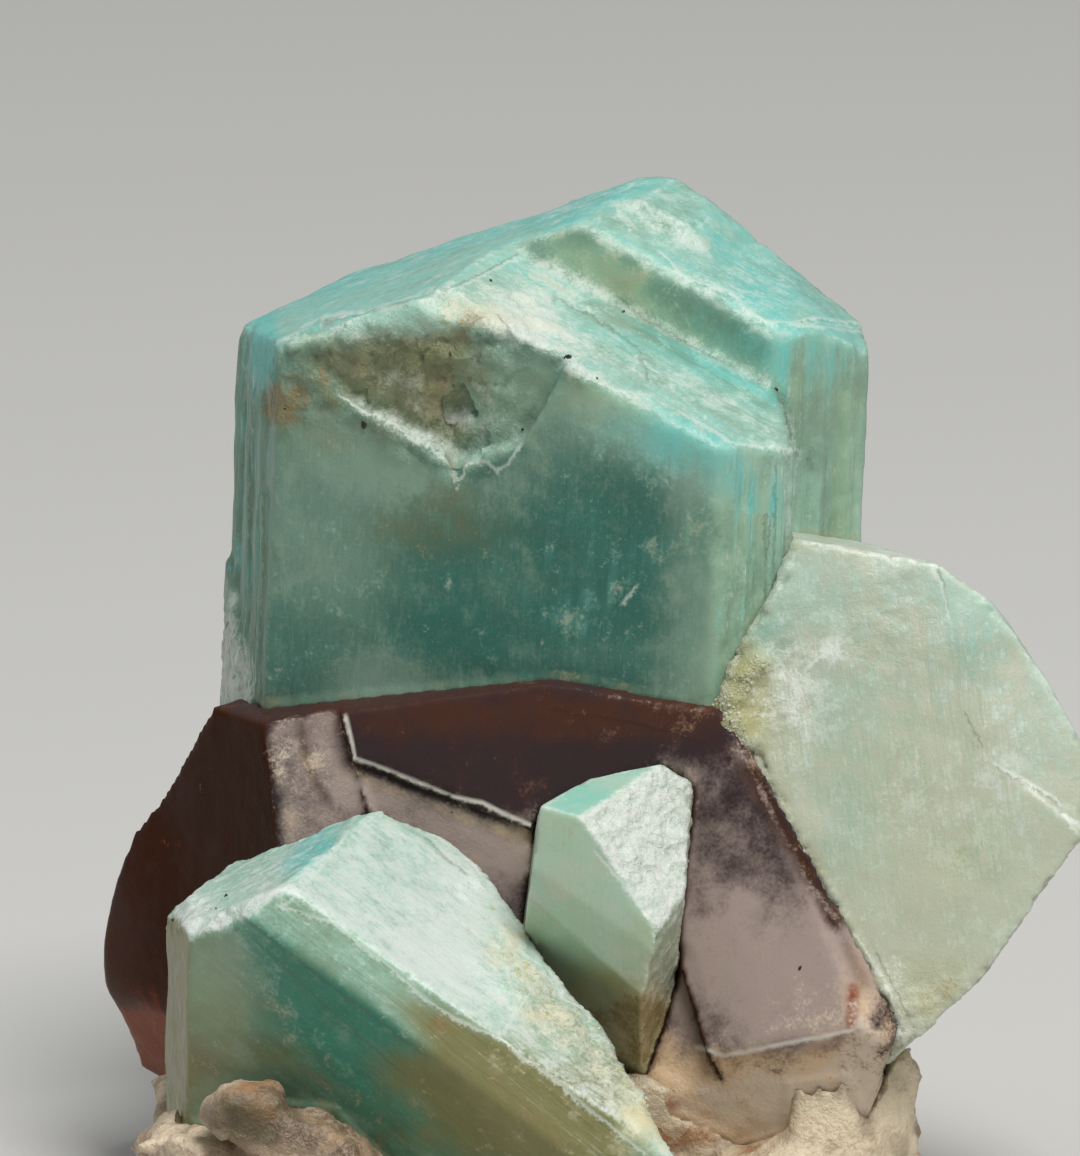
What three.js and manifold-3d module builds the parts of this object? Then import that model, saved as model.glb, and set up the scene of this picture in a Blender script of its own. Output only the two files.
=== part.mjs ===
// A rough amazonite specimen: blue-green microcline crystals and smoky quartz on pale feldspar.
// Millimetres, +Z up, front towards -Y. Every crystal is the space inside a set of flat faces.
import * as THREE from 'three';
import { ConvexGeometry } from 'three/addons/geometries/ConvexGeometry.js';
import { mergeVertices } from 'three/addons/utils/BufferGeometryUtils.js';
import Module from 'manifold-3d';

const wasm = await Module();
wasm.setup();

// ---- driving dimensions ----
const GAP = 0.3;            // clearance between crystals that touch
const STEP = 14.5;          // how far the rear half of the tall crystal stands behind its front half
const HALF = 14;            // from the tall crystal's centre to its front face
const TALL_DEPTH = 32;      // from the tall crystal's centre down to its hidden root
const FOOT_HEIGHT = 9;      // thickness of the matrix's flat-bottomed base

// Where each crystal's centre lies, and how it is turned, nodded forwards and leaned to the right.
const TALL = { at: [-2, 8, 55], yaw: 22, nod: 2, lean: 2.5 };
const RIGHT = { at: [29, -7, 41] };
const QUARTZ = { at: [-2, -2, 31] };
const FRONT = { at: [-17, -20, 24] };
const SMALL = { at: [6, -19, 37] };

const COLOURS = {
  amazonite: '#74a99c',
  paleAmazonite: '#b4cbb8',
  smokyQuartz: '#57433f',
  feldspar: '#cdbfa9',
};

// ---- geometry helpers ----
// A face's outward direction: turned from the front (-Y) round to the right (+X), then lifted above level.
function direction(turn, lift) {
  const t = THREE.MathUtils.degToRad(turn);
  const l = THREE.MathUtils.degToRad(lift);
  return new THREE.Vector3(Math.sin(t) * Math.cos(l), -Math.cos(t) * Math.cos(l), Math.sin(l));
}

function placement({ at, yaw = 0, nod = 0, lean = 0 }) {
  const [n, l, y] = [nod, lean, -yaw].map(THREE.MathUtils.degToRad);
  const turn = new THREE.Matrix4().makeRotationFromEuler(new THREE.Euler(n, l, y, 'YXZ'));
  return turn.setPosition(...at);
}

function solidOf(geometry) {
  const bare = geometry.clone();
  bare.deleteAttribute('normal');
  bare.deleteAttribute('uv');
  const merged = mergeVertices(bare, 1e-4);
  return new wasm.Manifold(new wasm.Mesh({
    numProp: 3,
    vertProperties: new Float32Array(merged.attributes.position.array),
    triVerts: new Uint32Array(merged.index.array),
  }));
}

// The corners of the space inside all the faces, where three faces meet and no other face cuts them off.
function corners(planes) {
  const found = [];
  const normals = new THREE.Matrix3();
  for (let i = 0; i < planes.length; i++) {
    for (let j = i + 1; j < planes.length; j++) {
      for (let k = j + 1; k < planes.length; k++) {
        const [a, b, c] = [planes[i], planes[j], planes[k]];
        normals.set(a.normal.x, a.normal.y, a.normal.z, b.normal.x, b.normal.y, b.normal.z,
          c.normal.x, c.normal.y, c.normal.z);
        if (Math.abs(normals.determinant()) < 1e-5) continue;
        const corner = new THREE.Vector3(a.reach, b.reach, c.reach).applyMatrix3(normals.invert());
        const inside = planes.every((p) => p.normal.dot(corner) <= p.reach + 1e-6);
        if (inside && !found.some((f) => f.distanceTo(corner) < 1e-3)) found.push(corner);
      }
    }
  }
  return found;
}

// A crystal from its faces, each [turn, lift, distance from the centre]. grow moves every face outwards.
function crystal(place, faces, grow = 0) {
  const planes = Object.values(faces).map(([turn, lift, distance]) => (
    { normal: direction(turn, lift), reach: distance + grow }
  ));
  const geometry = new ConvexGeometry(corners(planes));
  geometry.applyMatrix4(placement(place));
  return solidOf(geometry);
}

const join = (solids) => solids.reduce((whole, next) => whole.add(next));
const carve = (solid, tools) => tools.reduce((left, tool) => left.subtract(tool), solid);

// What is left of a piece after its neighbours are cut away, without loose chips.
function largest(solid) {
  const pieces = solid.decompose();
  return pieces.reduce((best, piece) => (piece.volume() > best.volume() ? piece : best));
}

// ---- the tall crystal: two microcline individuals grown side by side ----
// Faces are named for where they look. The prism faces stand at 60 degrees to the front.
const tallShared = {
  leftFront: [-60, 0, 20.5],
  leftBack: [-120, 0, 26.2],
  root: [0, -90, TALL_DEPTH],
};
const near = {
  ...tallShared,
  front: [0, 0, HALF],
  rightFront: [60, 0, 26.1],
  rightBack: [120, 0, 19.2],
  roofLeft: [-90, 64, 24.2],
  roofRight: [90, 70, 23.8],
  chippedTip: [14, 52, 27.2],
  back: [180, 0, 10],
};
const far = {
  ...tallShared,
  front: [0, 0, HALF - STEP],
  rightFront: [60, 0, 18.1],
  rightBack: [120, 0, 27.3],
  roofLeft: [-90, 64, 24.7],
  roofRight: [90, 69.5, 28.8],
  wornEnd: [110, 57, 31.4],
  back: [180, 0, 14.8],
};
// a last growth layer over the rear half's roof, level on top and short of the right edge
const farLayer = {
  ...far,
  front: [0, 0, -6.5],
  roofRight: [90, 70.5, 30.2],
  crest: [-90, 84, 28.8],
  end: [90, 45, 27.8],
};

// Two thin steps along the front edge of the left roof slope: [how far forward, how high].
const roofSteps = [[13.0, 24.45], [11.4, 24.7]];

// Narrow upright growth ridges on the prism faces: from and to along the face, height, top end.
const TO_ROOF = 40;
const CAP_SLOPE = 62;
const leftRidges = [
  [-17.4, -14.8, 0.4, TO_ROOF],
  [-13.6, -12.4, 0.6, 9],
  [-10.6, -7.2, 0.35, TO_ROOF],
  [-6.0, -4.9, 0.55, -4],
  [-3.6, -0.4, 0.4, 12],
  [0.9, 2.2, 0.5, 6],
  [-16.0, -6.5, 1.0, -7],
  [-2.8, 1.6, 0.9, -11],
];
const nearRightRidges = [
  [-0.3, 0.8, 0.3, TO_ROOF],
  [2.0, 3.1, 0.35, 12],
  [4.4, 6.1, 0.3, TO_ROOF],
];
const farRightRidges = [
  [12.6, 13.9, 0.3, TO_ROOF],
  [15.2, 16.9, 0.45, 13],
  [18.4, 19.7, 0.3, TO_ROOF],
];
const backRidges = [
  [-21.5, -16.0, 0.7, 13],
  [-13.5, -11.8, 0.4, TO_ROOF],
  [-9.5, -1.5, 0.5, 3],
  [0.8, 2.4, 0.5, TO_ROOF],
  [6.0, 12.5, 0.9, -4],
  [15.2, 17.0, 0.4, TO_ROOF],
  [19.0, 24.0, 0.7, -9],
];

// The broken hollow high on the front face: its floor dips inwards down to a straight ledge.
const hollow = {
  floor: [-176.5, 9.6, -9.6],
  ledge: [-90, -67, -11.1],
  jag: [90, -64, -10.9],
  left: [-90, -51, -6.6],
  right: [90, -26, -1.6],
  top: [0, 90, 34],
  open: [0, 0, 30],
};
// a small pocket in the hollow's floor
const pocket = {
  floor: [180, 0, -10.9],
  left: [-80, 20, 9.0],
  right: [80, 25, 9.7],
  low: [0, -80, -13.2],
  open: [0, 0, 30],
};

function ridgesOn(faces, name, ridges, grow) {
  const [turn, lift, distance] = faces[name];
  const slope = THREE.MathUtils.degToRad(CAP_SLOPE);
  return ridges.map(([from, to, height, top]) => crystal(TALL, {
    ...faces,
    [name]: [turn, lift, distance + height],
    start: [turn - 90, 0, -from],
    stop: [turn + 90, 0, to],
    cap: [turn + 90, CAP_SLOPE, (from + to) / 2 * Math.cos(slope) + top * Math.sin(slope)],
  }, grow));
}

function tallCrystal(grow = 0) {
  const steps = roofSteps.map(([front, roof]) => crystal(TALL, {
    ...near,
    front: [0, 0, front],
    roofLeft: [-90, 64, roof],
  }, grow));
  const whole = join([
    crystal(TALL, near, grow),
    crystal(TALL, far, grow),
    crystal(TALL, farLayer, grow),
    ...steps,
    ...ridgesOn(near, 'leftFront', leftRidges, grow),
    ...ridgesOn(near, 'rightFront', nearRightRidges, grow),
    ...ridgesOn(far, 'rightFront', farRightRidges, grow),
    ...ridgesOn(far, 'back', backRidges, grow),
  ]);
  return carve(whole, [crystal(TALL, hollow), crystal(TALL, pocket)]);
}

// ---- the pale crystal on the right: a thick slab that leans back, lower at its upper right ----
const rightFaces = {
  front: [-4, 22, 10.9],
  top: [142.5, 73.5, 18.1],
  topRight: [118, 49.5, 15.0],
  rightHigh: [103, 24.5, 13.0],
  rightMid: [99.5, 34.5, 14.2],
  right: [91, -4, 13.9],
  lowRight: [85, -36, 12.5],
  tip: [75, -45, 14.9],
  leftLow: [-55, -11, 13.6],
  leftTop: [-59.5, 34, 18.7],
  back: [176, -22, 6.5],
};
const shoulder = {
  floor: [-171.5, -25.5, -12.4],
  ledge: [-60.5, -47.5, -4.2],
  open: [0, 0, 40],
  right: [90, 0, 40],
  top: [0, 90, 40],
};

function rightCrystal(grow = 0) {
  return carve(crystal(RIGHT, rightFaces, grow), [crystal(RIGHT, shoulder)]);
}

// ---- the lower left crystal: steep white end face, a narrow bevel under it, a chipped corner ----
const frontFaces = {
  front: [-23.5, -12, 11.4],
  leftFront: [-83, -0.5, 11.7],
  leftBack: [-133, 1.5, 15.7],
  roofLeft: [-108, 62.5, 14.0],
  roofChip: [-109, 38.5, 15.7],
  chippedCorner: [-60, 45, 18.2],
  bevel: [-4.5, 16, 17.2],
  roofRight: [68.5, 57.5, 15.0],
  rimHigh: [165.5, 33, 15.5],
  rimMid: [142.5, 13.5, 15.0],
  rimLow: [120, -1.5, 13.8],
  backLeft: [155.5, 38, 20.0],
  back: [161, -17, 11.7],
  brokenRoot: [35, -55, 25.5],
  root: [0, -90, 19],
};

// ---- the small crystal that stands out of the quartz ----
const smallFaces = {
  front: [-16, 6, 6.7],
  roofLeft: [14.5, 71.5, 7.6],
  roofRight: [43.5, 34.5, 5.4],
  band: [-23, -6, 6.8],
  under: [-44, -29.5, 7.2],
  left: [-92.5, 7.5, 6.6],
  right: [90.5, -6, 5.4],
  rightLow: [68.5, -15, 6.4],
  backRight: [124, 45.5, 9.2],
  backLeft: [-118.5, 54, 7.5],
  backTop: [-149.5, 58, 7.3],
  back: [161, -17, 6.5],
  root: [0, -90, 18],
};

// ---- the smoky quartz: one large sloping face, its lower left half broken away in shallow steps ----
const quartzFaces = {
  main: [-19, 17, 12.2],
  left: [-62, 4, 19.6],
  top: [-93, 77.5, 18.1],
  topRight: [16.5, 84, 20.0],
  right: [44, 37, 27.7],
  rightLow: [21.5, 30, 26.0],
  under: [-9.5, -20, 19.8],
  leftLow: [-61.5, -30, 24.6],
  backLeft: [-142.5, 39.5, 23.3],
  backLow: [-128.5, 18, 31.3],
  backRight: [110, 0, 26],
  lowRight: [80, -20, 33.5],
  back: [165, 0, 22],
  root: [0, -90, 24],
};
const ledgeHigh = [71.5, 22, -5.6];
const fractures = [
  // the shell-shaped break beside the left edge
  {
    wall: ledgeHigh,
    floor: [170.5, -19, -9.6],
    left: [-109, 0, 40],
    top: [0, 90, 40],
    open: [-19, 17, 30],
    low: [0, -90, 40],
  },
  // the long break below the white ledge
  {
    wallLong: [107.5, 72, 6.8],
    wallLow: [87, 57.5, 7.6],
    wallRight: [72, 23.5, 16.0],
    start: [ledgeHigh[0] - 180, -ledgeHigh[1], -ledgeHigh[2]],
    floor: [160, -12, -10.7],
    open: [-19, 17, 30],
    low: [0, -90, 40],
  },
  // the facet at its lower end
  {
    floor: [141, -7.5, -5.8],
    left: [-105.5, -5, -10.5],
    top: [139.5, 78, -0.7],
    open: [-19, 17, 30],
    low: [0, -90, 40],
  },
];

function quartzCrystal(grow = 0) {
  return carve(crystal(QUARTZ, quartzFaces, grow), fractures.map((faces) => crystal(QUARTZ, faces)));
}

// ---- the feldspar matrix: intergrown pale crystals over a flat foot ----
// A feldspar crystal of a given width, depth and height about its centre, with a roof sloping both ways.
function feldspar({ at, size: [width, depth, height], yaw = 0, nod = 0, lean = 0 }) {
  const side = width * 0.433 + depth * 0.18;
  const roof = height * 0.45 + width * 0.05;
  return crystal({ at, yaw, nod, lean }, {
    front: [0, 0, depth / 2],
    back: [180, 0, depth / 2],
    leftFront: [-60, 0, side],
    rightFront: [60, 0, side * 0.96],
    leftBack: [-120, 0, side * 0.97],
    rightBack: [120, 0, side],
    roofLeft: [-90, 64, roof],
    roofRight: [90, 68, roof * 0.98],
    bevel: [10, 50, roof * 0.9 + depth * 0.2],
    foot: [0, -90, height / 2],
  });
}

const masses = [
  { at: [-3, -5, 13], size: [44, 32, 22] },
  { at: [-3, 12, 20], size: [38, 24, 32], yaw: 22 },
  { at: [13.5, -2, 18], size: [22, 24, 30], yaw: -20 },
  { at: [-14, -22, 9], size: [28, 24, 14], yaw: 14 },
  { at: [1, -22, 8], size: [30, 24, 13], yaw: -12 },
];
const smallCrystals = [
  { at: [24, -18, 17], size: [7.5, 13, 27], yaw: 14, lean: -4 },
  { at: [21.5, -21, 9], size: [11, 12, 16], yaw: 40, nod: 8 },
  { at: [-17.4, -34.5, 19.4], size: [17, 7, 4.2], lean: 25, yaw: 8 },
  { at: [-22.5, -34.5, 22.0], size: [5, 5, 4.5], lean: 40, nod: 10 },
  { at: [8.4, -37, 22.8], size: [3.2, 3.2, 7.5], lean: 22, yaw: -20 },
  { at: [-28, -27, 15], size: [5, 7, 9], lean: -18, yaw: 30 },
  { at: [-25.5, -31, 16], size: [6.5, 7, 8], lean: -12, yaw: 50 },
  { at: [-22, -35, 14], size: [7, 7, 9], lean: 8, nod: 14 },
  { at: [-28, -22, 11], size: [5, 6, 7], lean: -38 },
  { at: [-14, -36.5, 14.5], size: [8, 6, 8], lean: 18, nod: 22, yaw: 12 },
  { at: [-4, -36, 12.5], size: [9, 7, 9], lean: -10, nod: 16, yaw: -14 },
  { at: [6, -34, 13], size: [9, 8, 10], lean: 12, nod: 12, yaw: -30 },
  { at: [24, -11, 11], size: [8, 9, 12], lean: 14, yaw: 60 },
  { at: [23, 4, 15], size: [10, 10, 17], lean: 10, yaw: 80 },
  { at: [19, 13, 15], size: [11, 10, 19], lean: 8, nod: -6, yaw: 120 },
  { at: [17.5, 22, 20], size: [9, 12, 27], lean: 5, nod: -8, yaw: 150 },
  { at: [11, 26.5, 15], size: [12, 9, 21], lean: 3, nod: -12, yaw: 170 },
  { at: [3, 26.5, 21], size: [9, 8, 29], lean: -3, nod: -6, yaw: 205 },
  { at: [-5, 24.5, 14], size: [13, 10, 18], lean: 4, nod: -12, yaw: 190 },
  { at: [-13, 20.5, 19], size: [10, 9, 23], lean: -5, nod: -7, yaw: 215 },
  { at: [-20.5, 16.5, 15], size: [12, 11, 19], lean: -8, nod: -9, yaw: 230 },
  { at: [-25, 12, 19], size: [8, 8, 15], lean: -14, nod: -4, yaw: 250 },
  { at: [-22, 5, 11], size: [10, 12, 15], lean: -12, yaw: 262 },
  { at: [-26, -3, 12], size: [7, 8, 9], lean: -24, yaw: 275 },
  { at: [-22, -9, 10], size: [10, 11, 13], lean: -10, yaw: 285 },
];
const foot = { at: [-1, -3, FOOT_HEIGHT / 2], size: [46, 38, FOOT_HEIGHT] };

function footBlock() {
  const [width, depth, height] = foot.size;
  return crystal(foot, {
    bottom: [0, -90, height / 2],
    top: [0, 90, height / 2],
    front: [4, -38, depth * 0.36 + 1],
    back: [176, -38, depth * 0.36 + 1],
    left: [-88, -40, width * 0.36 + 1],
    right: [92, -36, width * 0.37 + 1],
    leftFront: [-48, -38, width * 0.42],
    rightFront: [50, -38, width * 0.42],
    leftBack: [-130, -38, width * 0.41],
    rightBack: [134, -38, width * 0.42],
  });
}

function matrix() {
  return join([footBlock(), ...masses.map(feldspar), ...smallCrystals.map(feldspar)]);
}

// ---- the pieces, each cut clear of the ones before it ----
const clearance = {
  tall: tallCrystal(GAP),
  right: rightCrystal(GAP),
  front: crystal(FRONT, frontFaces, GAP),
  small: crystal(SMALL, smallFaces, GAP),
  quartz: quartzCrystal(GAP),
};
const without = (solid, ...neighbours) => largest(carve(solid, neighbours.map((name) => clearance[name])));

const pieces = {
  amazonite_tall: [tallCrystal(), COLOURS.amazonite, 0.55],
  amazonite_right: [without(rightCrystal(), 'tall'), COLOURS.paleAmazonite, 0.6],
  amazonite_front: [without(crystal(FRONT, frontFaces), 'tall'), COLOURS.amazonite, 0.5],
  amazonite_small: [without(crystal(SMALL, smallFaces), 'tall', 'front'), COLOURS.paleAmazonite, 0.5],
  smoky_quartz: [without(quartzCrystal(), 'tall', 'right', 'front', 'small'), COLOURS.smokyQuartz, 0.2],
  feldspar_matrix: [
    without(matrix(), 'tall', 'right', 'front', 'small', 'quartz'), COLOURS.feldspar, 0.8,
  ],
};

function meshOf(name, [solid, colour, roughness]) {
  const { vertProperties, triVerts } = solid.getMesh();
  const geometry = new THREE.BufferGeometry();
  geometry.setAttribute('position', new THREE.BufferAttribute(vertProperties, 3));
  geometry.setIndex(new THREE.BufferAttribute(triVerts, 1));
  geometry.computeVertexNormals();
  const material = new THREE.MeshStandardMaterial({ color: colour, roughness, metalness: 0 });
  const mesh = new THREE.Mesh(geometry, material);
  mesh.name = name;
  return mesh;
}

const specimen = new THREE.Group();
for (const [name, piece] of Object.entries(pieces)) specimen.add(meshOf(name, piece));

// The origin is under the middle of the specimen, on the surface that it stands on.
const extent = new THREE.Box3().setFromObject(specimen, true);
const middle = extent.getCenter(new THREE.Vector3());
specimen.position.set(-middle.x, -middle.y, -extent.min.z);

export default specimen;
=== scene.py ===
"""A rough amazonite cluster: blue-green feldspar crystals and smoky quartz on pale feldspar."""
import math

import bmesh
import bpy
import numpy as np
from mathutils import Matrix, Vector
from mathutils.bvhtree import BVHTree
from mathutils.kdtree import KDTree


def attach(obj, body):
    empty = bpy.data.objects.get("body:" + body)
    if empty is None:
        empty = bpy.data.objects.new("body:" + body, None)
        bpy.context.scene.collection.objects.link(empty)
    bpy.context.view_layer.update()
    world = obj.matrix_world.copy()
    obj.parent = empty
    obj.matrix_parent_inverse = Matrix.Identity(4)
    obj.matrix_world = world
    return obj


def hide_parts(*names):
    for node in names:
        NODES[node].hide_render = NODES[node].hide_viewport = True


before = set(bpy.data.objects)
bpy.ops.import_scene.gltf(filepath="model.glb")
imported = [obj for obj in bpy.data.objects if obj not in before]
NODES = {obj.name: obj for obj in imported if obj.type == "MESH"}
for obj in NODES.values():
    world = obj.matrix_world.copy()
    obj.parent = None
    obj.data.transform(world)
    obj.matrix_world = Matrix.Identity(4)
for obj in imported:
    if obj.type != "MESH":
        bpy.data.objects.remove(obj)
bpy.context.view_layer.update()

MM = 0.001

# ---- the camera and where things lie in its frame ----
FRAME_WIDTH, FRAME_HEIGHT = 1080, 1156
PIXEL = 0.08 * MM                           # one frame pixel at the aim point
AIM = Vector((-4.14, 4.37, 56.0)) * MM
LOOK_DOWN = math.radians(16)
DISTANCE = 1.2
SENSOR = 36.0

FORWARD = Vector((0, math.cos(LOOK_DOWN), -math.sin(LOOK_DOWN)))
RIGHT = Vector((1, 0, 0))
UP = Vector((0, math.sin(LOOK_DOWN), math.cos(LOOK_DOWN)))
EYE = AIM - FORWARD * DISTANCE


def frame_places(points):
    """Column and row in the camera's frame of each point, for an array of points in metres."""
    out = points - np.array(EYE)
    depth = out @ np.array(FORWARD)
    scale = DISTANCE / (depth * PIXEL)
    column = FRAME_WIDTH / 2 + (out @ np.array(RIGHT)) * scale
    row = FRAME_HEIGHT / 2 - (out @ np.array(UP)) * scale
    return column, row


def toward(turn, lift):
    """A direction turned from the front (-Y) round to the right (+X), then lifted above level, in degrees."""
    t, l = math.radians(turn), math.radians(lift)
    return Vector((math.sin(t) * math.cos(l), -math.cos(t) * math.cos(l), math.sin(l)))


# ---- fine meshes of the crystals ----
def linked(name, mesh):
    made = bpy.data.objects.new(name, mesh)
    bpy.context.scene.collection.objects.link(made)
    return made


def frozen(obj):
    """The object's shape with its modifiers applied, as a plain mesh on the same object."""
    seen = obj.evaluated_get(bpy.context.evaluated_depsgraph_get())
    mesh = bpy.data.meshes.new_from_object(seen)
    obj.modifiers.clear()
    old, obj.data = obj.data, mesh
    bpy.data.meshes.remove(old)
    mesh.name = obj.name
    return obj


def welded(name):
    """A CAD node's faces as one joined mesh, flat areas made whole."""
    bm = bmesh.new()
    bm.from_mesh(NODES[name].data)
    bmesh.ops.remove_doubles(bm, verts=bm.verts, dist=1e-6)
    bm.normal_update()
    return bm


def vertex_places(obj):
    flat = np.empty(len(obj.data.vertices) * 3)
    obj.data.vertices.foreach_get("co", flat)
    return flat.reshape(-1, 3)


def edge_ends(obj):
    """The two vertices of each edge, as rows of an array."""
    flat = np.empty(len(obj.data.edges) * 2, dtype=np.int32)
    obj.data.edges.foreach_get("vertices", flat)
    return flat.reshape(-1, 2)


def spread(obj, values, rounds, weight=1.0):
    """Moves each vertex's value halfway towards its neighbours' mean, as often as rounds says."""
    a, b = edge_ends(obj).T
    n = len(values)
    neighbours = np.maximum(np.bincount(a, minlength=n) + np.bincount(b, minlength=n), 1)
    pull = 0.5 * np.broadcast_to(weight, n)
    columns = values.T.copy() if values.ndim == 2 else values[None].copy()
    for _ in range(rounds):
        for column in columns:
            mean = (np.bincount(a, column[b], n) + np.bincount(b, column[a], n)) / neighbours
            column += pull * (mean - column)
    return columns.T if values.ndim == 2 else columns[0]


def move_to(obj, places):
    obj.data.vertices.foreach_set("co", places.ravel())
    obj.data.update()


def fine_copy(name, node, grain, blunt, soft=(), soft_rounds=80):
    """A copy of a CAD node with evenly spread faces, each about grain millimetres wide, and blunt edges.

    blunt: how often every vertex moves towards its neighbours.
    soft: spots where edges are rounded much more."""
    bm = welded(node)
    mesh = bpy.data.meshes.new(name)
    bm.to_mesh(mesh)
    skin = BVHTree.FromBMesh(bm)
    bm.free()
    made = linked(name, mesh)
    remesh = made.modifiers.new("small faces", "REMESH")
    remesh.mode = "VOXEL"
    remesh.voxel_size = grain * MM * 1
    remesh.use_smooth_shade = True
    frozen(made)
    hits = [skin.find_nearest(place) for place in vertex_places(made)]
    places = np.array([hit[0] for hit in hits])
    facing = -np.array([hit[1] for hit in hits]) @ np.array(FORWARD)
    places = spread(made, places, blunt // (1))
    if soft:
        column, row = frame_places(places)
        weight = np.clip(spots({"column": column, "row": row, "facing": facing}, soft), 0, 1)
        places = spread(made, places, soft_rounds // (1), weight)
    move_to(made, places)
    return made


def keep_above_floor(obj):
    places = vertex_places(obj)
    places[:, 2] = np.maximum(places[:, 2], 0)
    move_to(obj, places)


SHARP = math.radians(18)     # two CAD faces that meet at more than this have an edge between them
SHORT = 1.2 * MM             # shorter edges belong to thin ridges and stay as they are
TRUE_SPACING = 0.25 * MM     # of the points that stand for an edge
EDGE_REACH = 6.0             # mm from an edge or a corner at which looking for it stops
SEAM_REACH = 4.0             # the same for a neighbour


def edge_points(bm, convex):
    """Points along the sharp edges that stand out (convex) or that lie in a corner."""
    points = []
    for edge in bm.edges:
        if len(edge.link_faces) != 2 or edge.calc_face_angle(0) < SHARP or edge.is_convex != convex:
            continue
        if edge.calc_length() < SHORT:
            continue
        a, b = edge.verts[0].co, edge.verts[1].co
        count = max(1, int((b - a).length / TRUE_SPACING))
        points += [a.lerp(b, i / count) for i in range(count + 1)]
    return points


def nearest_distance(points, vertices, reach):
    """Distance in mm from each vertex to the nearest of the points, reach at most."""
    if not points:
        return np.full(len(vertices), reach)
    tree = KDTree(len(points))
    for i, point in enumerate(points):
        tree.insert(point, i)
    tree.balance()
    return np.minimum([tree.find(v)[2] / MM for v in vertices], reach)


def survey(obj, node):
    """Reads, for each vertex, the CAD face under it, and how far edges, corners and neighbours are, in mm."""
    vertices = [v.co.copy() for v in obj.data.vertices]
    bm = welded(node)
    tree = BVHTree.FromBMesh(bm)
    facet = np.array([tree.find_nearest(v)[1] for v in vertices])
    edge = nearest_distance(edge_points(bm, True), vertices, EDGE_REACH)
    corner = nearest_distance(edge_points(bm, False), vertices, EDGE_REACH)
    bm.free()
    seam = np.full(len(vertices), SEAM_REACH)
    for other in NODES:
        if other == node:
            continue
        bm = welded(other)
        tree = BVHTree.FromBMesh(bm)
        for i, v in enumerate(vertices):
            hit = tree.find_nearest(v, SEAM_REACH * MM)
            if hit[0] is not None:
                seam[i] = min(seam[i], hit[3] / MM)
        bm.free()
    place = np.array(vertices)
    column, row = frame_places(place)
    return {"place": place, "facet": facet, "edge": edge, "corner": corner, "seam": seam,
            "column": column, "row": row, "facing": -facet @ np.array(FORWARD)}


# ---- where each colour and each roughness lies ----
def smooth(value, low, high):
    t = np.clip((value - low) / (high - low), 0, 1)
    return t * t * (3 - 2 * t)


def line_distance(column, row, line):
    """Signed distance in frame pixels to a line of points, and how far the nearest point of it is."""
    across, nearest = np.full(len(column), 1e3), np.full(len(column), 1e3)
    for (x0, y0), (x1, y1) in zip(line, line[1:]):
        dx, dy = x1 - x0, y1 - y0
        x, y = column - x0, row - y0
        t = np.clip((x * dx + y * dy) / (dx * dx + dy * dy), 0, 1)
        distance = np.hypot(x - t * dx, y - t * dy)
        closer = distance < nearest
        across[closer] = ((x * dy - y * dx) / math.hypot(dx, dy))[closer]
        nearest[closer] = distance[closer]
    return across, nearest


FRONT_SIDE = (-0.05, 0.08)   # how squarely a face looks at the camera where placed marks fade in


def spots(found, placed):
    """How much of something each vertex gets from soft oval spots and soft bands on the front side.

    A spot: column, row, half width and half height in frame pixels, amount, and its tilt in degrees.
    A band: a list of points, its half width and its amount. A negative amount cancels others."""
    total = np.zeros(len(found["column"]))
    for first, *rest in placed:
        if isinstance(first, list):
            half, amount = rest
            apart = line_distance(found["column"], found["row"], first)[1] / half
        else:
            row, wide, high, amount, *tilt = rest
            a = math.radians(tilt[0] if tilt else 0)
            x, y = found["column"] - first, found["row"] - row
            along = (x * math.cos(a) + y * math.sin(a)) / wide
            apart = np.hypot(along, (y * math.cos(a) - x * math.sin(a)) / high)
        total += amount * np.exp(-apart ** 3)
    return total * smooth(found["facing"], *FRONT_SIDE)


BORDER_ROUNDS, BORDER_SHARE = 5, 2.5   # how wide and how strongly the line between two faces fades
EDGE_ON = 0.2                # a face that looks at the camera less than this is seen from its side


def shares(obj, found, faces, evenness):
    """Which named face each vertex lies on, by the nearest direction, and how far inside it lies."""
    broad = spread(obj, found["facet"], evenness)
    names = list(faces)
    index = np.argmax(broad @ np.array([faces[n]["looks"] for n in names]).T, axis=1)
    ends = edge_ends(obj)
    border = np.zeros(len(index))
    border[ends[index[ends[:, 0]] != index[ends[:, 1]]].ravel()] = 1.0
    inner = 1 - np.clip(spread(obj, border, BORDER_ROUNDS) * BORDER_SHARE, 0, 1)
    return names, index, np.where(border > 0, 0.0, inner)


def streak_direction(normal, frame_direction):
    """The direction in a face that looks, in the camera's frame, like (right, down)."""
    across, down = frame_direction
    flat = RIGHT * across - UP * down
    facing = normal.dot(FORWARD)
    if abs(facing) < EDGE_ON:
        flat, facing = Vector((0, 0, 1)), None
    inside = flat - FORWARD * (normal.dot(flat) / facing) if facing else flat - normal * normal.dot(flat)
    return inside.normalized()


def write(obj, name, values):
    kind = "FLOAT_VECTOR" if values.ndim == 2 else "FLOAT"
    data = obj.data.attributes.new(name, kind, "POINT").data
    data.foreach_set("vector" if values.ndim == 2 else "value", values.astype(np.float32).ravel())


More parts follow.
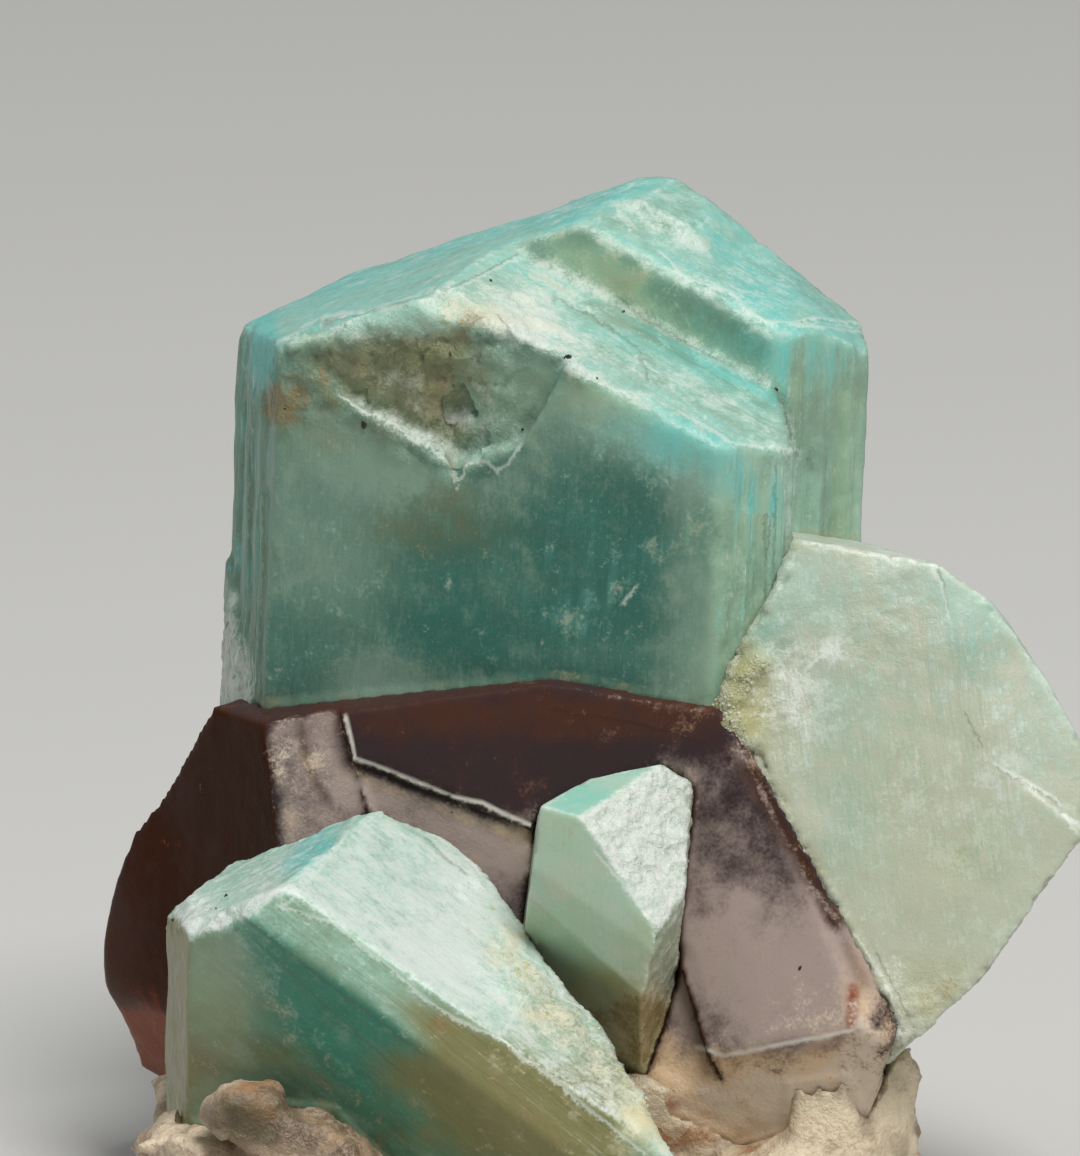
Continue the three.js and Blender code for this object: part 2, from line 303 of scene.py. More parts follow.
LINE_REACH = 0.9             # mm from a drawn line within which it can show
LINE_FACING = 0.05           # lines show on faces that look at the camera at least this much
FAR = 9.0                    # mm, for where no line is near
BROAD_ROUNDS = 14            # evens out the directions of ridges under about 2 mm wide
SKIN_ROUNDS = 6              # the same for the directions in which relief is raised
AMOUNT_ROUNDS = 5            # softens where one amount meets another
WORN_WIDTH = 0.8             # mm from an edge that wear and painted edge glint reach
CORNER_WIDTH = (0.2, 2.2)    # mm from a corner over which the darker brown fades
SEAM_WIDTH = (0.28, 0.42)    # mm to a neighbour over which a seam closes
CRUST_WIDTH = (0.3, 1.4)     # mm to a neighbour over which crust fades


def paint(obj, node, faces, placed, base, lines=None, evenness=BROAD_ROUNDS):
    """Gives each vertex its streak coordinates and its amount of each colour and roughness.

    faces: name -> what face() gives. placed: amount name -> spots. base: amount name -> amount everywhere.
    lines: line kind -> lines of points."""
    found = survey(obj, node)
    names, index, inner = shares(obj, found, faces, evenness)
    run = np.zeros_like(found["facet"])
    edge_share = np.ones(len(index))
    for i, name in enumerate(names):
        on = index == i
        normal = Vector(faces[name]["looks"])
        along = streak_direction(normal, faces[name].get("streak", (0, 1)))
        side = normal.cross(along)
        axes = np.array([side, normal, along])
        run[on] = found["place"][on] @ axes.T / MM
        edge_share[on] = faces[name].get("edge", 1.0)
    outwards = spread(obj, found["facet"], SKIN_ROUNDS)
    write(obj, "run", run)
    write(obj, "facet", outwards / np.linalg.norm(outwards, axis=1)[:, None])
    write(obj, "inner", inner)
    # Near convex edges: real wear, which chips the relief, and a painted edge glint in the colour; the listed
    # spots keep edges plain.
    kept = 1 - np.clip(spots(found, placed.get("kept_plain", [])), 0, 1)
    write(obj, "worn", (1 - smooth(found["edge"], 0.0, WORN_WIDTH)) * edge_share * kept)
    write(obj, "corner", 1 - smooth(found["corner"], *CORNER_WIDTH))
    write(obj, "seam", 1 - smooth(found["seam"], *SEAM_WIDTH))
    write(obj, "crust", 1 - smooth(found["seam"], *CRUST_WIDTH))
    for amount, start in base.items():
        values = np.full(len(index), float(start))
        for i, name in enumerate(names):
            if amount in faces[name]:
                values[index == i] = faces[name][amount]
        values += spots(found, placed.get(amount, []))
        write(obj, amount, np.clip(spread(obj, values, AMOUNT_ROUNDS), 0, 1))
    # The pale lines are partly pale marks and partly painted glints along lit edges and lips.
    for kind in ("pale_line", "dark_line"):
        across, near = np.full(len(index), FAR), np.zeros(len(index))
        for line in (lines or {}).get(kind, []):
            a, b = (d * PIXEL / MM for d in line_distance(found["column"], found["row"], line))
            closer = b < np.abs(across)
            across[closer] = a[closer]
            near = np.maximum(near, 1 - smooth(b, LINE_REACH * 0.6, LINE_REACH))
        write(obj, kind, across)
        write(obj, kind + "_near", near * (found["facing"] > LINE_FACING))
    return found


# ---- one helper for every node tree ----
def node(tree, kind, links=None, **settings):
    """Adds a node. links gives its inputs a value or another node's output."""
    made = tree.nodes.new(kind)
    for name, value in settings.items():
        setattr(made, name, value)
    for name, value in (links or {}).items():
        if isinstance(value, bpy.types.NodeSocket):
            tree.links.new(value, made.inputs[name])
        else:
            made.inputs[name].default_value = value
    return made


class Fields:
    """Short names for the number fields that the relief trees and the materials share. Lengths are in mm."""

    def __init__(self, tree, attribute_node, place):
        self.tree = tree
        self.attribute_node = attribute_node
        self.place = place

    def read(self, name, vector=False):
        if self.attribute_node == "ShaderNodeAttribute":
            made = node(self.tree, self.attribute_node, attribute_name=name)
            return made.outputs["Vector" if vector else "Fac"]
        return node(self.tree, self.attribute_node, {"Name": name},
                    data_type="FLOAT_VECTOR" if vector else "FLOAT").outputs[0]

    def sum(self, a, b, factor=1.0):
        return node(self.tree, "ShaderNodeMath", {0: b, 1: factor, 2: a}, operation="MULTIPLY_ADD").outputs[0]

    def total(self, first, *others):
        """The sum of fields, each alone or as (field, factor). The first may be an attribute's name."""
        whole = self.read(first) if isinstance(first, str) else first
        for other in others:
            whole = self.sum(whole, *(other if isinstance(other, tuple) else (other,)))
        return whole

    def product(self, a, b):
        return node(self.tree, "ShaderNodeMath", {0: a, 1: b}, operation="MULTIPLY").outputs[0]

    def noise(self, size, detail=3.0, rough=0.55, where=None, shift=0.0, bent=0.0):
        """Soft random variation from -0.5 to 0.5. size is the width of one cloud, bent how much it winds."""
        place = where or self.place
        if shift:
            place = node(self.tree, "ShaderNodeVectorMath", {0: place, 1: (shift, shift * 1.7, -shift)},
                         operation="ADD").outputs[0]
        made = node(self.tree, "ShaderNodeTexNoise", {
            "Vector": place, "Scale": self.fineness(size), "Detail": detail, "Roughness": rough,
            "Distortion": bent})
        return self.sum(-0.5, made.outputs[0])

    def fineness(self, size):
        if isinstance(size, float):
            return 1 / size
        return node(self.tree, "ShaderNodeMath", {0: 1.0, 1: size}, operation="DIVIDE").outputs[0]

    def step(self, value, low, high):
        return node(self.tree, "ShaderNodeMapRange", {0: value, 1: low, 2: high},
                    interpolation_type="SMOOTHSTEP", clamp=True).outputs[0]


# ---- surface relief, by Geometry Nodes ----
def with_inputs(tree, numbers, others):
    """Gives a Geometry Nodes tree its named inputs and its output. others: name -> kind of socket."""
    sockets = {"Geometry": "NodeSocketGeometry"} | dict.fromkeys(numbers, "NodeSocketFloat") | others
    for name, kind in sockets.items():
        tree.interface.new_socket(name, in_out="INPUT", socket_type=kind)
    tree.interface.new_socket("Geometry", in_out="OUTPUT", socket_type="NodeSocketGeometry")
    tree.is_modifier = True
    return tree.nodes.new("NodeGroupInput").outputs


def finished(tree, geometry, material):
    """Ends a tree the way each one ends: plain geometry with its material."""
    whole = node(tree, "GeometryNodeRealizeInstances", {"Geometry": geometry}).outputs[0]
    dressed = node(tree, "GeometryNodeSetMaterial", {"Geometry": whole, "Material": material}).outputs[0]
    node(tree, "NodeGroupOutput", {"Geometry": dressed})
    return tree


GROOVE_STRETCH = (1.0, 1.0, 0.035)   # grooves are drawn out along the streaks
CHIP_SIZE, WAVE_SIZE = 2.5, 6.0      # mm
# Clouds of three sizes for the colours: size in mm, detail, shift.
CLOUDS = {"cloud": (9.0, 5.0, 31.0), "patch": (3.2, 4.0, 47.0), "mottle": (1.4, 3.0, 59.0)}


def relief_tree():
    """Moves a crystal's skin: grooves along it, broken grain, blocks, worn edges, closed seams."""
    tree = bpy.data.node_groups.new("crystal relief", "GeometryNodeTree")
    inputs = with_inputs(tree, ["Groove spacing", "Groove depth", "Grain size", "Grain depth", "Block size",
                                "Block depth", "Chip depth", "Swell", "Wave depth"],
                         {"Shift": "NodeSocketVector", "Material": "NodeSocketMaterial"})
    here = node(tree, "GeometryNodeInputPosition").outputs[0]
    here = node(tree, "ShaderNodeVectorMath", {0: here, "Scale": 1 / MM}, operation="SCALE").outputs[0]
    here = node(tree, "ShaderNodeVectorMath", {0: here, 1: inputs["Shift"]}, operation="ADD").outputs[0]
    f = Fields(tree, "GeometryNodeInputNamedAttribute", here)
    drawn_out = node(tree, "ShaderNodeVectorMath", {0: f.read("run", True), 1: GROOVE_STRETCH},
                     operation="MULTIPLY").outputs[0]
    groove = f.noise(inputs["Groove spacing"], 2.0, 0.6, where=drawn_out)
    where_grooved = f.product(f.read("grooved"), f.read("inner"))
    groove = f.product(f.product(groove, inputs["Groove depth"]), where_grooved)
    grain = f.product(f.noise(inputs["Grain size"], 4.0, 0.6), inputs["Grain depth"])
    blocks = node(tree, "ShaderNodeTexVoronoi", {"Vector": here, "Scale": f.fineness(inputs["Block size"])},
                  distance="CHEBYCHEV")
    block = node(tree, "ShaderNodeSeparateXYZ", {0: blocks.outputs["Color"]}).outputs[0]
    grain = f.product(f.total(grain, (f.sum(-0.5, block), inputs["Block depth"])), f.read("rough"))
    chip = node(tree, "ShaderNodeMath", {0: f.sum(-0.05, f.noise(CHIP_SIZE, 4.0, 0.6)), 1: 0.0},
                operation="MAXIMUM").outputs[0]
    chip = f.product(f.product(chip, inputs["Chip depth"]), f.read("worn"))
    out = f.total(groove, grain, (f.read("seam"), inputs["Swell"]),
                  (f.noise(WAVE_SIZE, 2.0, 0.5), inputs["Wave depth"]), f.read("raised"), (chip, -1.0))
    offset = node(tree, "ShaderNodeVectorMath", {0: f.read("facet", True), "Scale": f.product(out, MM)},
                  operation="SCALE")
    geometry = node(tree, "GeometryNodeSetPosition",
                    {"Geometry": inputs["Geometry"], "Offset": offset.outputs[0]}).outputs[0]
    for name, (size, detail, shift) in CLOUDS.items():
        geometry = node(tree, "GeometryNodeStoreNamedAttribute", {
            "Geometry": geometry, "Name": name, "Value": f.noise(size, detail, 0.6, shift=shift)},
            domain="POINT").outputs[0]
    return finished(tree, geometry, inputs["Material"])


def grains_tree():
    """Seats grains on a crystal's skin, as many as its grains attribute says."""
    tree = bpy.data.node_groups.new("seated grains", "GeometryNodeTree")
    inputs = with_inputs(tree, ["Density", "Smallest", "Largest", "Flatness", "Sunk", "Seed"],
                         {"Grain": "NodeSocketObject", "Material": "NodeSocketMaterial"})
    f = Fields(tree, "GeometryNodeInputNamedAttribute", None)
    seed = node(tree, "FunctionNodeFloatToInt", {0: inputs["Seed"]}).outputs[0]
    spread_out = node(tree, "GeometryNodeDistributePointsOnFaces", {
        "Mesh": inputs["Geometry"], "Density": f.product(f.read("grains"), inputs["Density"]), "Seed": seed})
    turn = node(tree, "FunctionNodeRandomValue", {0: (0, 0, 0), 1: (math.tau,) * 3, "Seed": seed},
                data_type="FLOAT_VECTOR").outputs[0]
    chance = node(tree, "FunctionNodeRandomValue", {"Seed": 7}, data_type="FLOAT").outputs[1]
    size = f.product(node(tree, "ShaderNodeMapRange", {0: f.product(chance, chance), 3: inputs["Smallest"],
                                                       4: inputs["Largest"]}).outputs[0], MM)
    sizes = node(tree, "ShaderNodeCombineXYZ", {0: size, 1: size, 2: f.product(size, inputs["Flatness"])})
    inwards = node(tree, "ShaderNodeVectorMath", {0: spread_out.outputs["Normal"], "Scale": f.product(
        f.product(size, inputs["Sunk"]), -1.0)}, operation="SCALE").outputs[0]
    points = node(tree, "GeometryNodeSetPosition",
                  {"Geometry": spread_out.outputs["Points"], "Offset": inwards}).outputs[0]
    shape = node(tree, "GeometryNodeObjectInfo", {"Object": inputs["Grain"], "As Instance": True})
    placed = node(tree, "GeometryNodeInstanceOnPoints", {
        "Points": points, "Instance": shape.outputs["Geometry"], "Rotation": turn, "Scale": sizes.outputs[0]})
    return finished(tree, placed.outputs[0], inputs["Material"])


RELIEF = relief_tree()
GRAINS = grains_tree()


def run_tree(obj, tree, values):
    """Applies a tree to an object. values: the tree's inputs by name."""
    modifier = obj.modifiers.new(tree.name, "NODES")
    modifier.node_group = tree
    for item in tree.interface.items_tree:
        if item.in_out == "INPUT" and item.name in values:
            modifier[item.identifier] = values[item.name]
    return frozen(obj)


def with_relief(obj, material, groove=(1.0, 0.0), grain=(2.0, 0.0), block=(3.0, 0.0), chip=1.0, wave=0.2,
                swell=0.2, shift=0.0):
    """Gives a crystal its relief. groove, grain and block: a width and a depth in mm."""
    if "raised" not in obj.data.attributes:
        write(obj, "raised", np.zeros(len(obj.data.vertices)))
    run_tree(obj, RELIEF, {
        "Groove spacing": groove[0], "Groove depth": groove[1], "Grain size": grain[0],
        "Grain depth": grain[1], "Block size": block[0], "Block depth": block[1], "Chip depth": chip,
        "Wave depth": wave, "Swell": swell, "Shift": (shift, -shift, shift * 2), "Material": material})
    keep_above_floor(obj)


def grain_shape(name, points, seed):
    """A small broken lump with flattened sides: the hull of a few random points, about 1 across."""
    chance = np.random.default_rng(seed)
    bm = bmesh.new()
    for _ in range(points):
        out = chance.normal(size=3)
        out = np.clip(out / np.linalg.norm(out), -0.8, 0.8) * chance.uniform(0.44, 0.55)
        bm.verts.new(Vector(out))
    bmesh.ops.convex_hull(bm, input=bm.verts)
    loose = [v for v in bm.verts if not v.link_faces]
    bmesh.ops.delete(bm, geom=loose, context="VERTS")
    bmesh.ops.recalc_face_normals(bm, faces=bm.faces)
    mesh = bpy.data.meshes.new(name)
    bm.to_mesh(mesh)
    bm.free()
    return linked(name, mesh)


def seated_grains(name, host, where, shape, material, density, sizes, flatness=1.0, sunk=0.1, seed=1):
    """A piece of its own: grains seated on a host crystal where the array where says. sizes in mm."""
    made = linked(name, host.data.copy())
    write(made, "grains", where)
    run_tree(made, GRAINS, {
        "Density": density / MM ** 2, "Smallest": sizes[0], "Largest": sizes[1], "Flatness": flatness,
        "Sunk": sunk, "Seed": float(seed), "Grain": shape, "Material": material})
    for attribute in [a.name for a in made.data.attributes if a.domain == "POINT" and not a.is_required]:
        made.data.attributes.remove(made.data.attributes[attribute])
    keep_above_floor(made)
    return made


# ---- colours ----
def linear(code):
    """An sRGB hex colour as linear red, green, blue and alpha."""
    parts = [int(code[i:i + 2], 16) / 255 for i in (1, 3, 5)]
    return tuple(p / 12.92 if p <= 0.04045 else ((p + 0.055) / 1.055) ** 2.4 for p in parts) + (1.0,)


def new_material(name):
    material = bpy.data.materials.new(name)
    material.use_nodes = True
    material.node_tree.nodes.clear()
    return material, material.node_tree


OFF_SQUARE = (0.5, 0.7, 0.4)   # turns the noise so that its own squares don't line up with a flat face
STREAK_TURN = (0, 0.02, 0.7)   # the same for noise drawn out along the streaks, in radians


class Palette(Fields):
    """The same fields in a material, with colours."""

    def __init__(self, tree):
        here = node(tree, "ShaderNodeTexCoord").outputs["Object"]
        place = node(tree, "ShaderNodeMapping",
                     {"Vector": here, "Rotation": OFF_SQUARE, "Scale": (1 / MM,) * 3}).outputs[0]
        super().__init__(tree, "ShaderNodeAttribute", place)
        self.run = self.read("run", True)
        self.patch, self.mottle = self.read("patch"), self.read("mottle")
        self.clouds = self.sum(self.product(self.read("cloud"), 0.9), self.patch, 0.9)

    def along(self, stretch):
        """Streak coordinates, for noise drawn out along the streaks."""
        return node(self.tree, "ShaderNodeMapping", {
            "Vector": self.run, "Scale": (1, 1, 1 / stretch), "Rotation": STREAK_TURN}).outputs[0]

    def mix(self, amount, a, b):
        """Colour a, turning into colour b as amount goes from 0 to 1."""
        made = node(self.tree, "ShaderNodeMix", {0: amount}, data_type="RGBA", clamp_factor=True)
        for socket, value in ((made.inputs[6], a), (made.inputs[7], b)):
            if isinstance(value, bpy.types.NodeSocket):
                self.tree.links.new(value, socket)
            else:
                socket.default_value = linear(value)
        return made.outputs[2]

    def layer(self, colour, tint, low, high, *terms, share=1.0):
        """Lays a tint over a colour as the sum of the terms goes from low to high. share thins it."""
        amount = self.step(self.total(*terms), low, high)
        return self.mix(amount if share == 1.0 else self.product(amount, share), colour, tint)

    def line(self, kind, width, waver):
        """How much a drawn line shows. waver moves and breaks it."""
        across = node(self.tree, "ShaderNodeMath", {0: self.sum(self.read(kind), waver, 0.6)},
                      operation="ABSOLUTE").outputs[0]
        width = self.product(self.sum(0.45, self.step(waver, -0.2, 0.25), 0.55), width)
        return self.product(self.step(across, self.product(width, 2.0), 0.0), self.read(kind + "_near"))


def crystal_shader(tree, colour, rough, height, depth, constants, inside=None):
    """Ends a material. height: a field of relief too fine for the mesh, and depth: how deep that is, in mm.

    constants: values on the shader's own sockets. inside: what fills a clear body."""
    bump = node(tree, "ShaderNodeBump", {"Height": height, "Distance": depth * MM}).outputs[0]
    shader = node(tree, "ShaderNodeBsdfPrincipled", {
        "Base Color": colour, "Roughness": rough, "Normal": bump} | constants)
    ends = {"Surface": shader.outputs[0]} | ({"Volume": inside.outputs[0]} if inside else {})
    node(tree, "ShaderNodeOutputMaterial", ends)


def amazonite_material(name, deep, body, mint, bright, chalk, olive="#857f50", green="#a0bf9f"):
    """Microcline coloured by lead: a milky blue-green body, turquoise streaks, white albite threads."""
    material, tree = new_material(name)
    p = Palette(tree)
    clouds, grooved, inner = p.clouds, p.read("grooved"), p.read("inner")
    streak = p.product(p.noise(1.0, 3.0, 0.62, where=p.along(14.0), bent=0.4), inner)
    thread = p.product(p.noise(0.28, 2.0, 0.6, where=p.along(7.0), bent=0.8), inner)
    speckle = p.noise(0.34, 2.0, 0.6, bent=0.6)
    fine = p.sum(p.product(p.mottle, 1.2), speckle, 0.9)
    pit = p.noise(0.45, 3.0, 0.65, shift=9.0, bent=0.8)

    colour = p.layer(body, deep, -0.05, 1.05, "teal", clouds, (fine, 0.8), (p.product(streak, grooved), 1.6),
                     (thread, -0.4))
    colour = p.layer(colour, mint, 0.0, 1.0, "mint", (clouds, 0.8), (fine, 0.8),
                     (streak, p.sum(0.3, grooved, 1.2)))
    colour = p.layer(colour, green, 0.05, 1.0, "green", (clouds, 0.7), (fine, 0.5))
    colour = p.layer(colour, bright, 0.15, 1.0, "vivid", (streak, p.sum(0.4, grooved, 2.0)), (clouds, 0.8))
    colour = p.layer(colour, olive, 0.1, 1.0, "olive", (clouds, 0.9), (fine, 0.4), share=0.8)
    colour = p.layer(colour, chalk, 0.16, 1.05, "milk", (clouds, 0.7), (thread, p.sum(0.2, grooved, 1.4)),
                     (fine, 1.1))
    # Chalk along the edges: edge wear, and partly a painted edge glint.
    colour = p.layer(colour, chalk, 0.4, 1.1, p.product(p.read("worn"), 0.75), (fine, 0.9), share=0.7)
    colour = p.layer(colour, "#d8d0a8", 0.22, 1.0, "cream", (clouds, 0.9), (fine, 0.6))
    colour = p.layer(colour, "#dfe8de", 0.2, 0.38, speckle, (thread, 0.8),
                     share=p.sum(0.1, p.read("mint"), 0.4))
    colour = p.layer(colour, deep, 0.12, 0.3, pit, (p.patch, 0.3), share=0.22)
    colour = p.layer(colour, "#8e7647", 0.2, 1.1, "rust", clouds, (p.mottle, 1.5), (speckle, 1.2), share=0.85)
    colour = p.layer(colour, "#a9a277", 0.7, 1.4, "crust", (p.patch, 2.2), (speckle, 1.2), share=0.5)
    colour = p.mix(p.product(p.line("dark_line", 0.14, fine), 0.4), colour, "#4f5a40")
    # Pale drawn lines: pale marks, and mostly painted glints along lit edges.
    colour = p.mix(p.product(p.line("pale_line", 0.18, fine), 0.6), colour, chalk)

    rough = p.total(0.42, (p.read("rough"), 0.15), (fine, 0.35))
    height = p.product(p.sum(streak, thread, 0.2), grooved)
    height = p.sum(height, speckle, p.sum(0.1, p.read("rough"), 0.8))
    crystal_shader(tree, colour, rough, height, 0.3, {
        "IOR": 1.525, "Subsurface Weight": 0.4, "Subsurface Radius": (1.0, 1.35, 1.2),
        "Subsurface Scale": 1.8 * MM})
    return material


def smoky_quartz_material():
    """Smoky quartz: clear brown glassy crystal, clouded by veils and by shell-shaped breaks."""
    material, tree = new_material("smoky quartz")
    p = Palette(tree)
    clouds, mottle = p.clouds, p.mottle
    speckle = p.noise(0.3, 3.0, 0.65, bent=0.4)
    fine = p.sum(p.product(mottle, 1.2), speckle)
    colour = p.layer("#3d3132", "#543427", 0.0, 1.0, "red", clouds, (fine, 0.5))
    for tint, low, high, terms in (
            ("#ab9990", 0.15, 0.95, ("pale", clouds, (fine, 0.5))),
            ("#3b1f10", 0.2, 1.0, ("brown", (clouds, 0.7), (fine, 0.6))),
            # The tan is pale enough to stand in for painted glow where the under side looks down into shade.
            ("#e4c49e", 0.25, 0.95, ("tan", (clouds, 0.9), (fine, 0.6))),
            ("#8a4426", 0.25, 1.0, ("rust", (clouds, 1.2), fine)),
            ("#dccbb6", 0.3, 0.9, ("milk", (p.patch, 0.8), fine))):
        colour = p.layer(colour, tint, low, high, *terms)
    # Paler along the edges: edge wear, and partly a painted edge glint.
    colour = p.layer(colour, "#b9a89b", 0.45, 1.1, p.product(p.read("worn"), 0.8), (mottle, 1.3),
                     (speckle, 1.3), share=0.55)
    colour = p.layer(colour, "#b5a597", 0.3, 0.38, speckle, (mottle, 0.5), share=0.5)
    colour = p.mix(p.product(p.line("dark_line", 0.15, fine), 0.45), colour, "#3a2a26")
    # Pale drawn lines: mostly painted glints along lit edges and lips.
    colour = p.mix(p.product(p.line("pale_line", 0.26, p.product(fine, 0.4)), 0.9), colour, "#e6ded3")
    rough = p.total(0.28, (p.read("pale"), 0.15), (mottle, 0.25))
    height = p.sum(p.product(speckle, p.sum(0.06, p.read("rough"), 0.7)), mottle, 0.15)
    inside = node(tree, "ShaderNodeVolumeAbsorption", {"Color": linear("#c7552a"), "Density": 450.0})
    crystal_shader(tree, colour, rough, height, 0.25, {
        "IOR": 1.544, "Specular IOR Level": 0.01, "Transmission Weight": 0.08}, inside)
    return material


FELDSPAR_BLOCK = 2.2         # mm, the width of one cleavage block


def feldspar_material():
    """Pale feldspar and albite: sugary white to pinkish beige, with rust stains, and darker brown towards
    concave corners.
    """
    material, tree = new_material("rough feldspar")
    p = Palette(tree)
    patch, mottle = p.patch, p.mottle
    grain = p.noise(0.35, 3.0, 0.6)
    bent = node(tree, "ShaderNodeVectorMath", {0: p.place, 1: node(tree, "ShaderNodeCombineXYZ", {
        0: p.product(patch, 2.0), 1: p.product(mottle, 1.5)}).outputs[0]}, operation="ADD").outputs[0]
    cells = node(tree, "ShaderNodeTexVoronoi", {"Vector": bent, "Scale": 1 / FELDSPAR_BLOCK},
                 distance="CHEBYCHEV")
    tint, step = node(tree, "ShaderNodeSeparateXYZ", {0: cells.outputs["Color"]}).outputs[:2]
    tint = p.sum(-0.5, tint)
    clouds = p.total(p.product(p.read("cloud"), 0.9), (patch, 0.8), (tint, 0.4))
    fine = p.sum(mottle, grain, 0.8)
    colour = p.layer("#ab947b", "#d3bfa8", -0.4, 0.4, clouds, fine)
    for tone, low, high, terms in (
            ("#75604d", 0.15, 0.9, ("brown", (clouds, 0.8), (fine, 0.8))),
            ("#ead9ba", 0.15, 1.0, ("milk", (clouds, 0.8), fine)),
            ("#57502f", 0.15, 1.0, ("olive", clouds, (fine, 0.5))),
            ("#9c6c44", 0.25, 0.95, ("rust", (clouds, 1.1), (fine, 0.6)))):
        colour = p.layer(colour, tone, low, high, *terms)
    # Darker brown towards concave corners.
    colour = p.layer(colour, "#6d5843", 0.4, 1.2, "corner", (patch, 0.6), share=0.5)
    rough = p.total(0.42, (tint, 0.25), (grain, 0.3))
    height = p.total(p.noise(0.9, 4.0, 0.65, shift=14.0), (grain, 0.3), (step, 0.7))
    crystal_shader(tree, colour, rough, height, 0.4, {
        "IOR": 1.53, "Subsurface Weight": 0.3, "Subsurface Radius": (1.3, 1.0, 0.8),
        "Subsurface Scale": 1.0 * MM})
    return material


def grain_material(name, colour, other, roughness):
    """Small seated grains: broken surfaces, with a colour that changes from grain to grain."""
    material, tree = new_material(name)
    here = node(tree, "ShaderNodeTexCoord").outputs["Object"]
    place = node(tree, "ShaderNodeMapping", {"Vector": here, "Scale": (1 / MM,) * 3}).outputs[0]
    f = Fields(tree, "ShaderNodeAttribute", place)
    blend = node(tree, "ShaderNodeMix", {0: f.step(f.noise(0.8, 3.0, 0.65), -0.2, 0.2), 6: linear(colour),
                                         7: linear(other)}, data_type="RGBA").outputs[2]
    crystal_shader(tree, blend, roughness, f.noise(0.25, 2.0, 0.6), 0.15, {
        "IOR": 1.53, "Subsurface Weight": 0.2, "Subsurface Radius": (1.2, 1.1, 0.9),
        "Subsurface Scale": 0.6 * MM})
    return material


AMAZONITE = amazonite_material("blue-green amazonite", deep="#256a5c", body="#84a08b", mint="#a6ccba",
                               bright="#74c4ba", chalk="#d3dcd1")
# A lighter copy for the front crystal: its deep colour is raised as painted light, where the front face looks
# down into shade.
GREEN = amazonite_material("sea-green amazonite", deep="#2c8069", body="#8a9f82", mint="#a9ccb8",
                           bright="#6cc0b8", chalk="#d5ddd4", olive="#7f7234")
PALE = amazonite_material("pale amazonite", deep="#78ab98", body="#b7bba5", mint="#aec6b5",
                          bright="#7cc0b0", chalk="#dce0d6", olive="#a5a268")
QUARTZ = smoky_quartz_material()
FELDSPAR = feldspar_material()


def face(turn, lift, **amounts):
    """A crystal face: where it looks, and by name its streak direction, its share of edge wear and painted
    edge glint, and amounts.
    """
    return {"looks": toward(turn, lift), **amounts}


# ---- the tall crystal ----
# Its turn on its own axis, its nod forwards and its lean to the right, in degrees.
YAW, NOD, LEAN = 22, 2, 2.5
tall_turn = (Matrix.Rotation(math.radians(LEAN), 3, "Y") @ Matrix.Rotation(math.radians(NOD), 3, "X")
             @ Matrix.Rotation(math.radians(-YAW), 3, "Z"))
# Streak directions in the camera's frame: right, down.
UPRIGHT, ROOF_UP, ROOF_DOWN = (-15, 375), (402, -150), (215, 120)

tall_faces = {
    "front": face(0, 0, streak=UPRIGHT, teal=0.5, grooved=0.06, edge=0.4),
    "left_front": face(-60, 0, streak=UPRIGHT, teal=0.45, grooved=1.0, vivid=0.25, mint=0.15, edge=0.3),
    "left_back": face(-120, 0, streak=UPRIGHT, teal=0.4, grooved=1.0, mint=0.2, edge=0.3),
    "right_front": face(60, 0, streak=UPRIGHT, teal=0.25, mint=0.3, grooved=0.8, vivid=0.1, green=0.3,
                        edge=0.6),
    "right_back": face(120, 0, streak=UPRIGHT, teal=0.3, grooved=1.0, mint=0.3, edge=0.3),
    "back": face(180, 0, streak=UPRIGHT, teal=0.35, grooved=0.8, mint=0.25, olive=0.15, milk=0.12,
                 vivid=0.15, edge=0.4),
    "roof_left": face(-90, 64, streak=ROOF_UP, teal=0.0, mint=0.75, grooved=0.5, vivid=0.5, milk=0.15),
    "roof_right": face(90, 70, streak=ROOF_DOWN, teal=0.05, mint=0.6, grooved=0.35, vivid=0.4, milk=0.15),
    "worn_end": face(110, 57, streak=ROOF_DOWN, teal=0.05, mint=0.55, grooved=0.35, vivid=0.45, milk=0.15),
    "chipped_tip": face(14, 52, streak=ROOF_DOWN, teal=0.0, mint=0.7, rough=0.6, milk=0.5, grooved=0.0),
    "root": face(0, -90, rough=1.0, milk=0.3),
}
for one in tall_faces.values():
    one["looks"] = tall_turn @ one["looks"]
# The front rim catches the light: its pale line and the thin milk band along it are a painted edge glint.
FRONT_RIM = [(569, 370), (603, 384), (646, 396), (669, 407), (694, 419), (734, 444), (794, 450)]
LEDGE = [(335, 396), (400, 436), (448, 468), (480, 474), (520, 450)]
REAR_GROOVE = [(557, 256), (620, 293), (677, 336), (729, 364), (790, 390)]
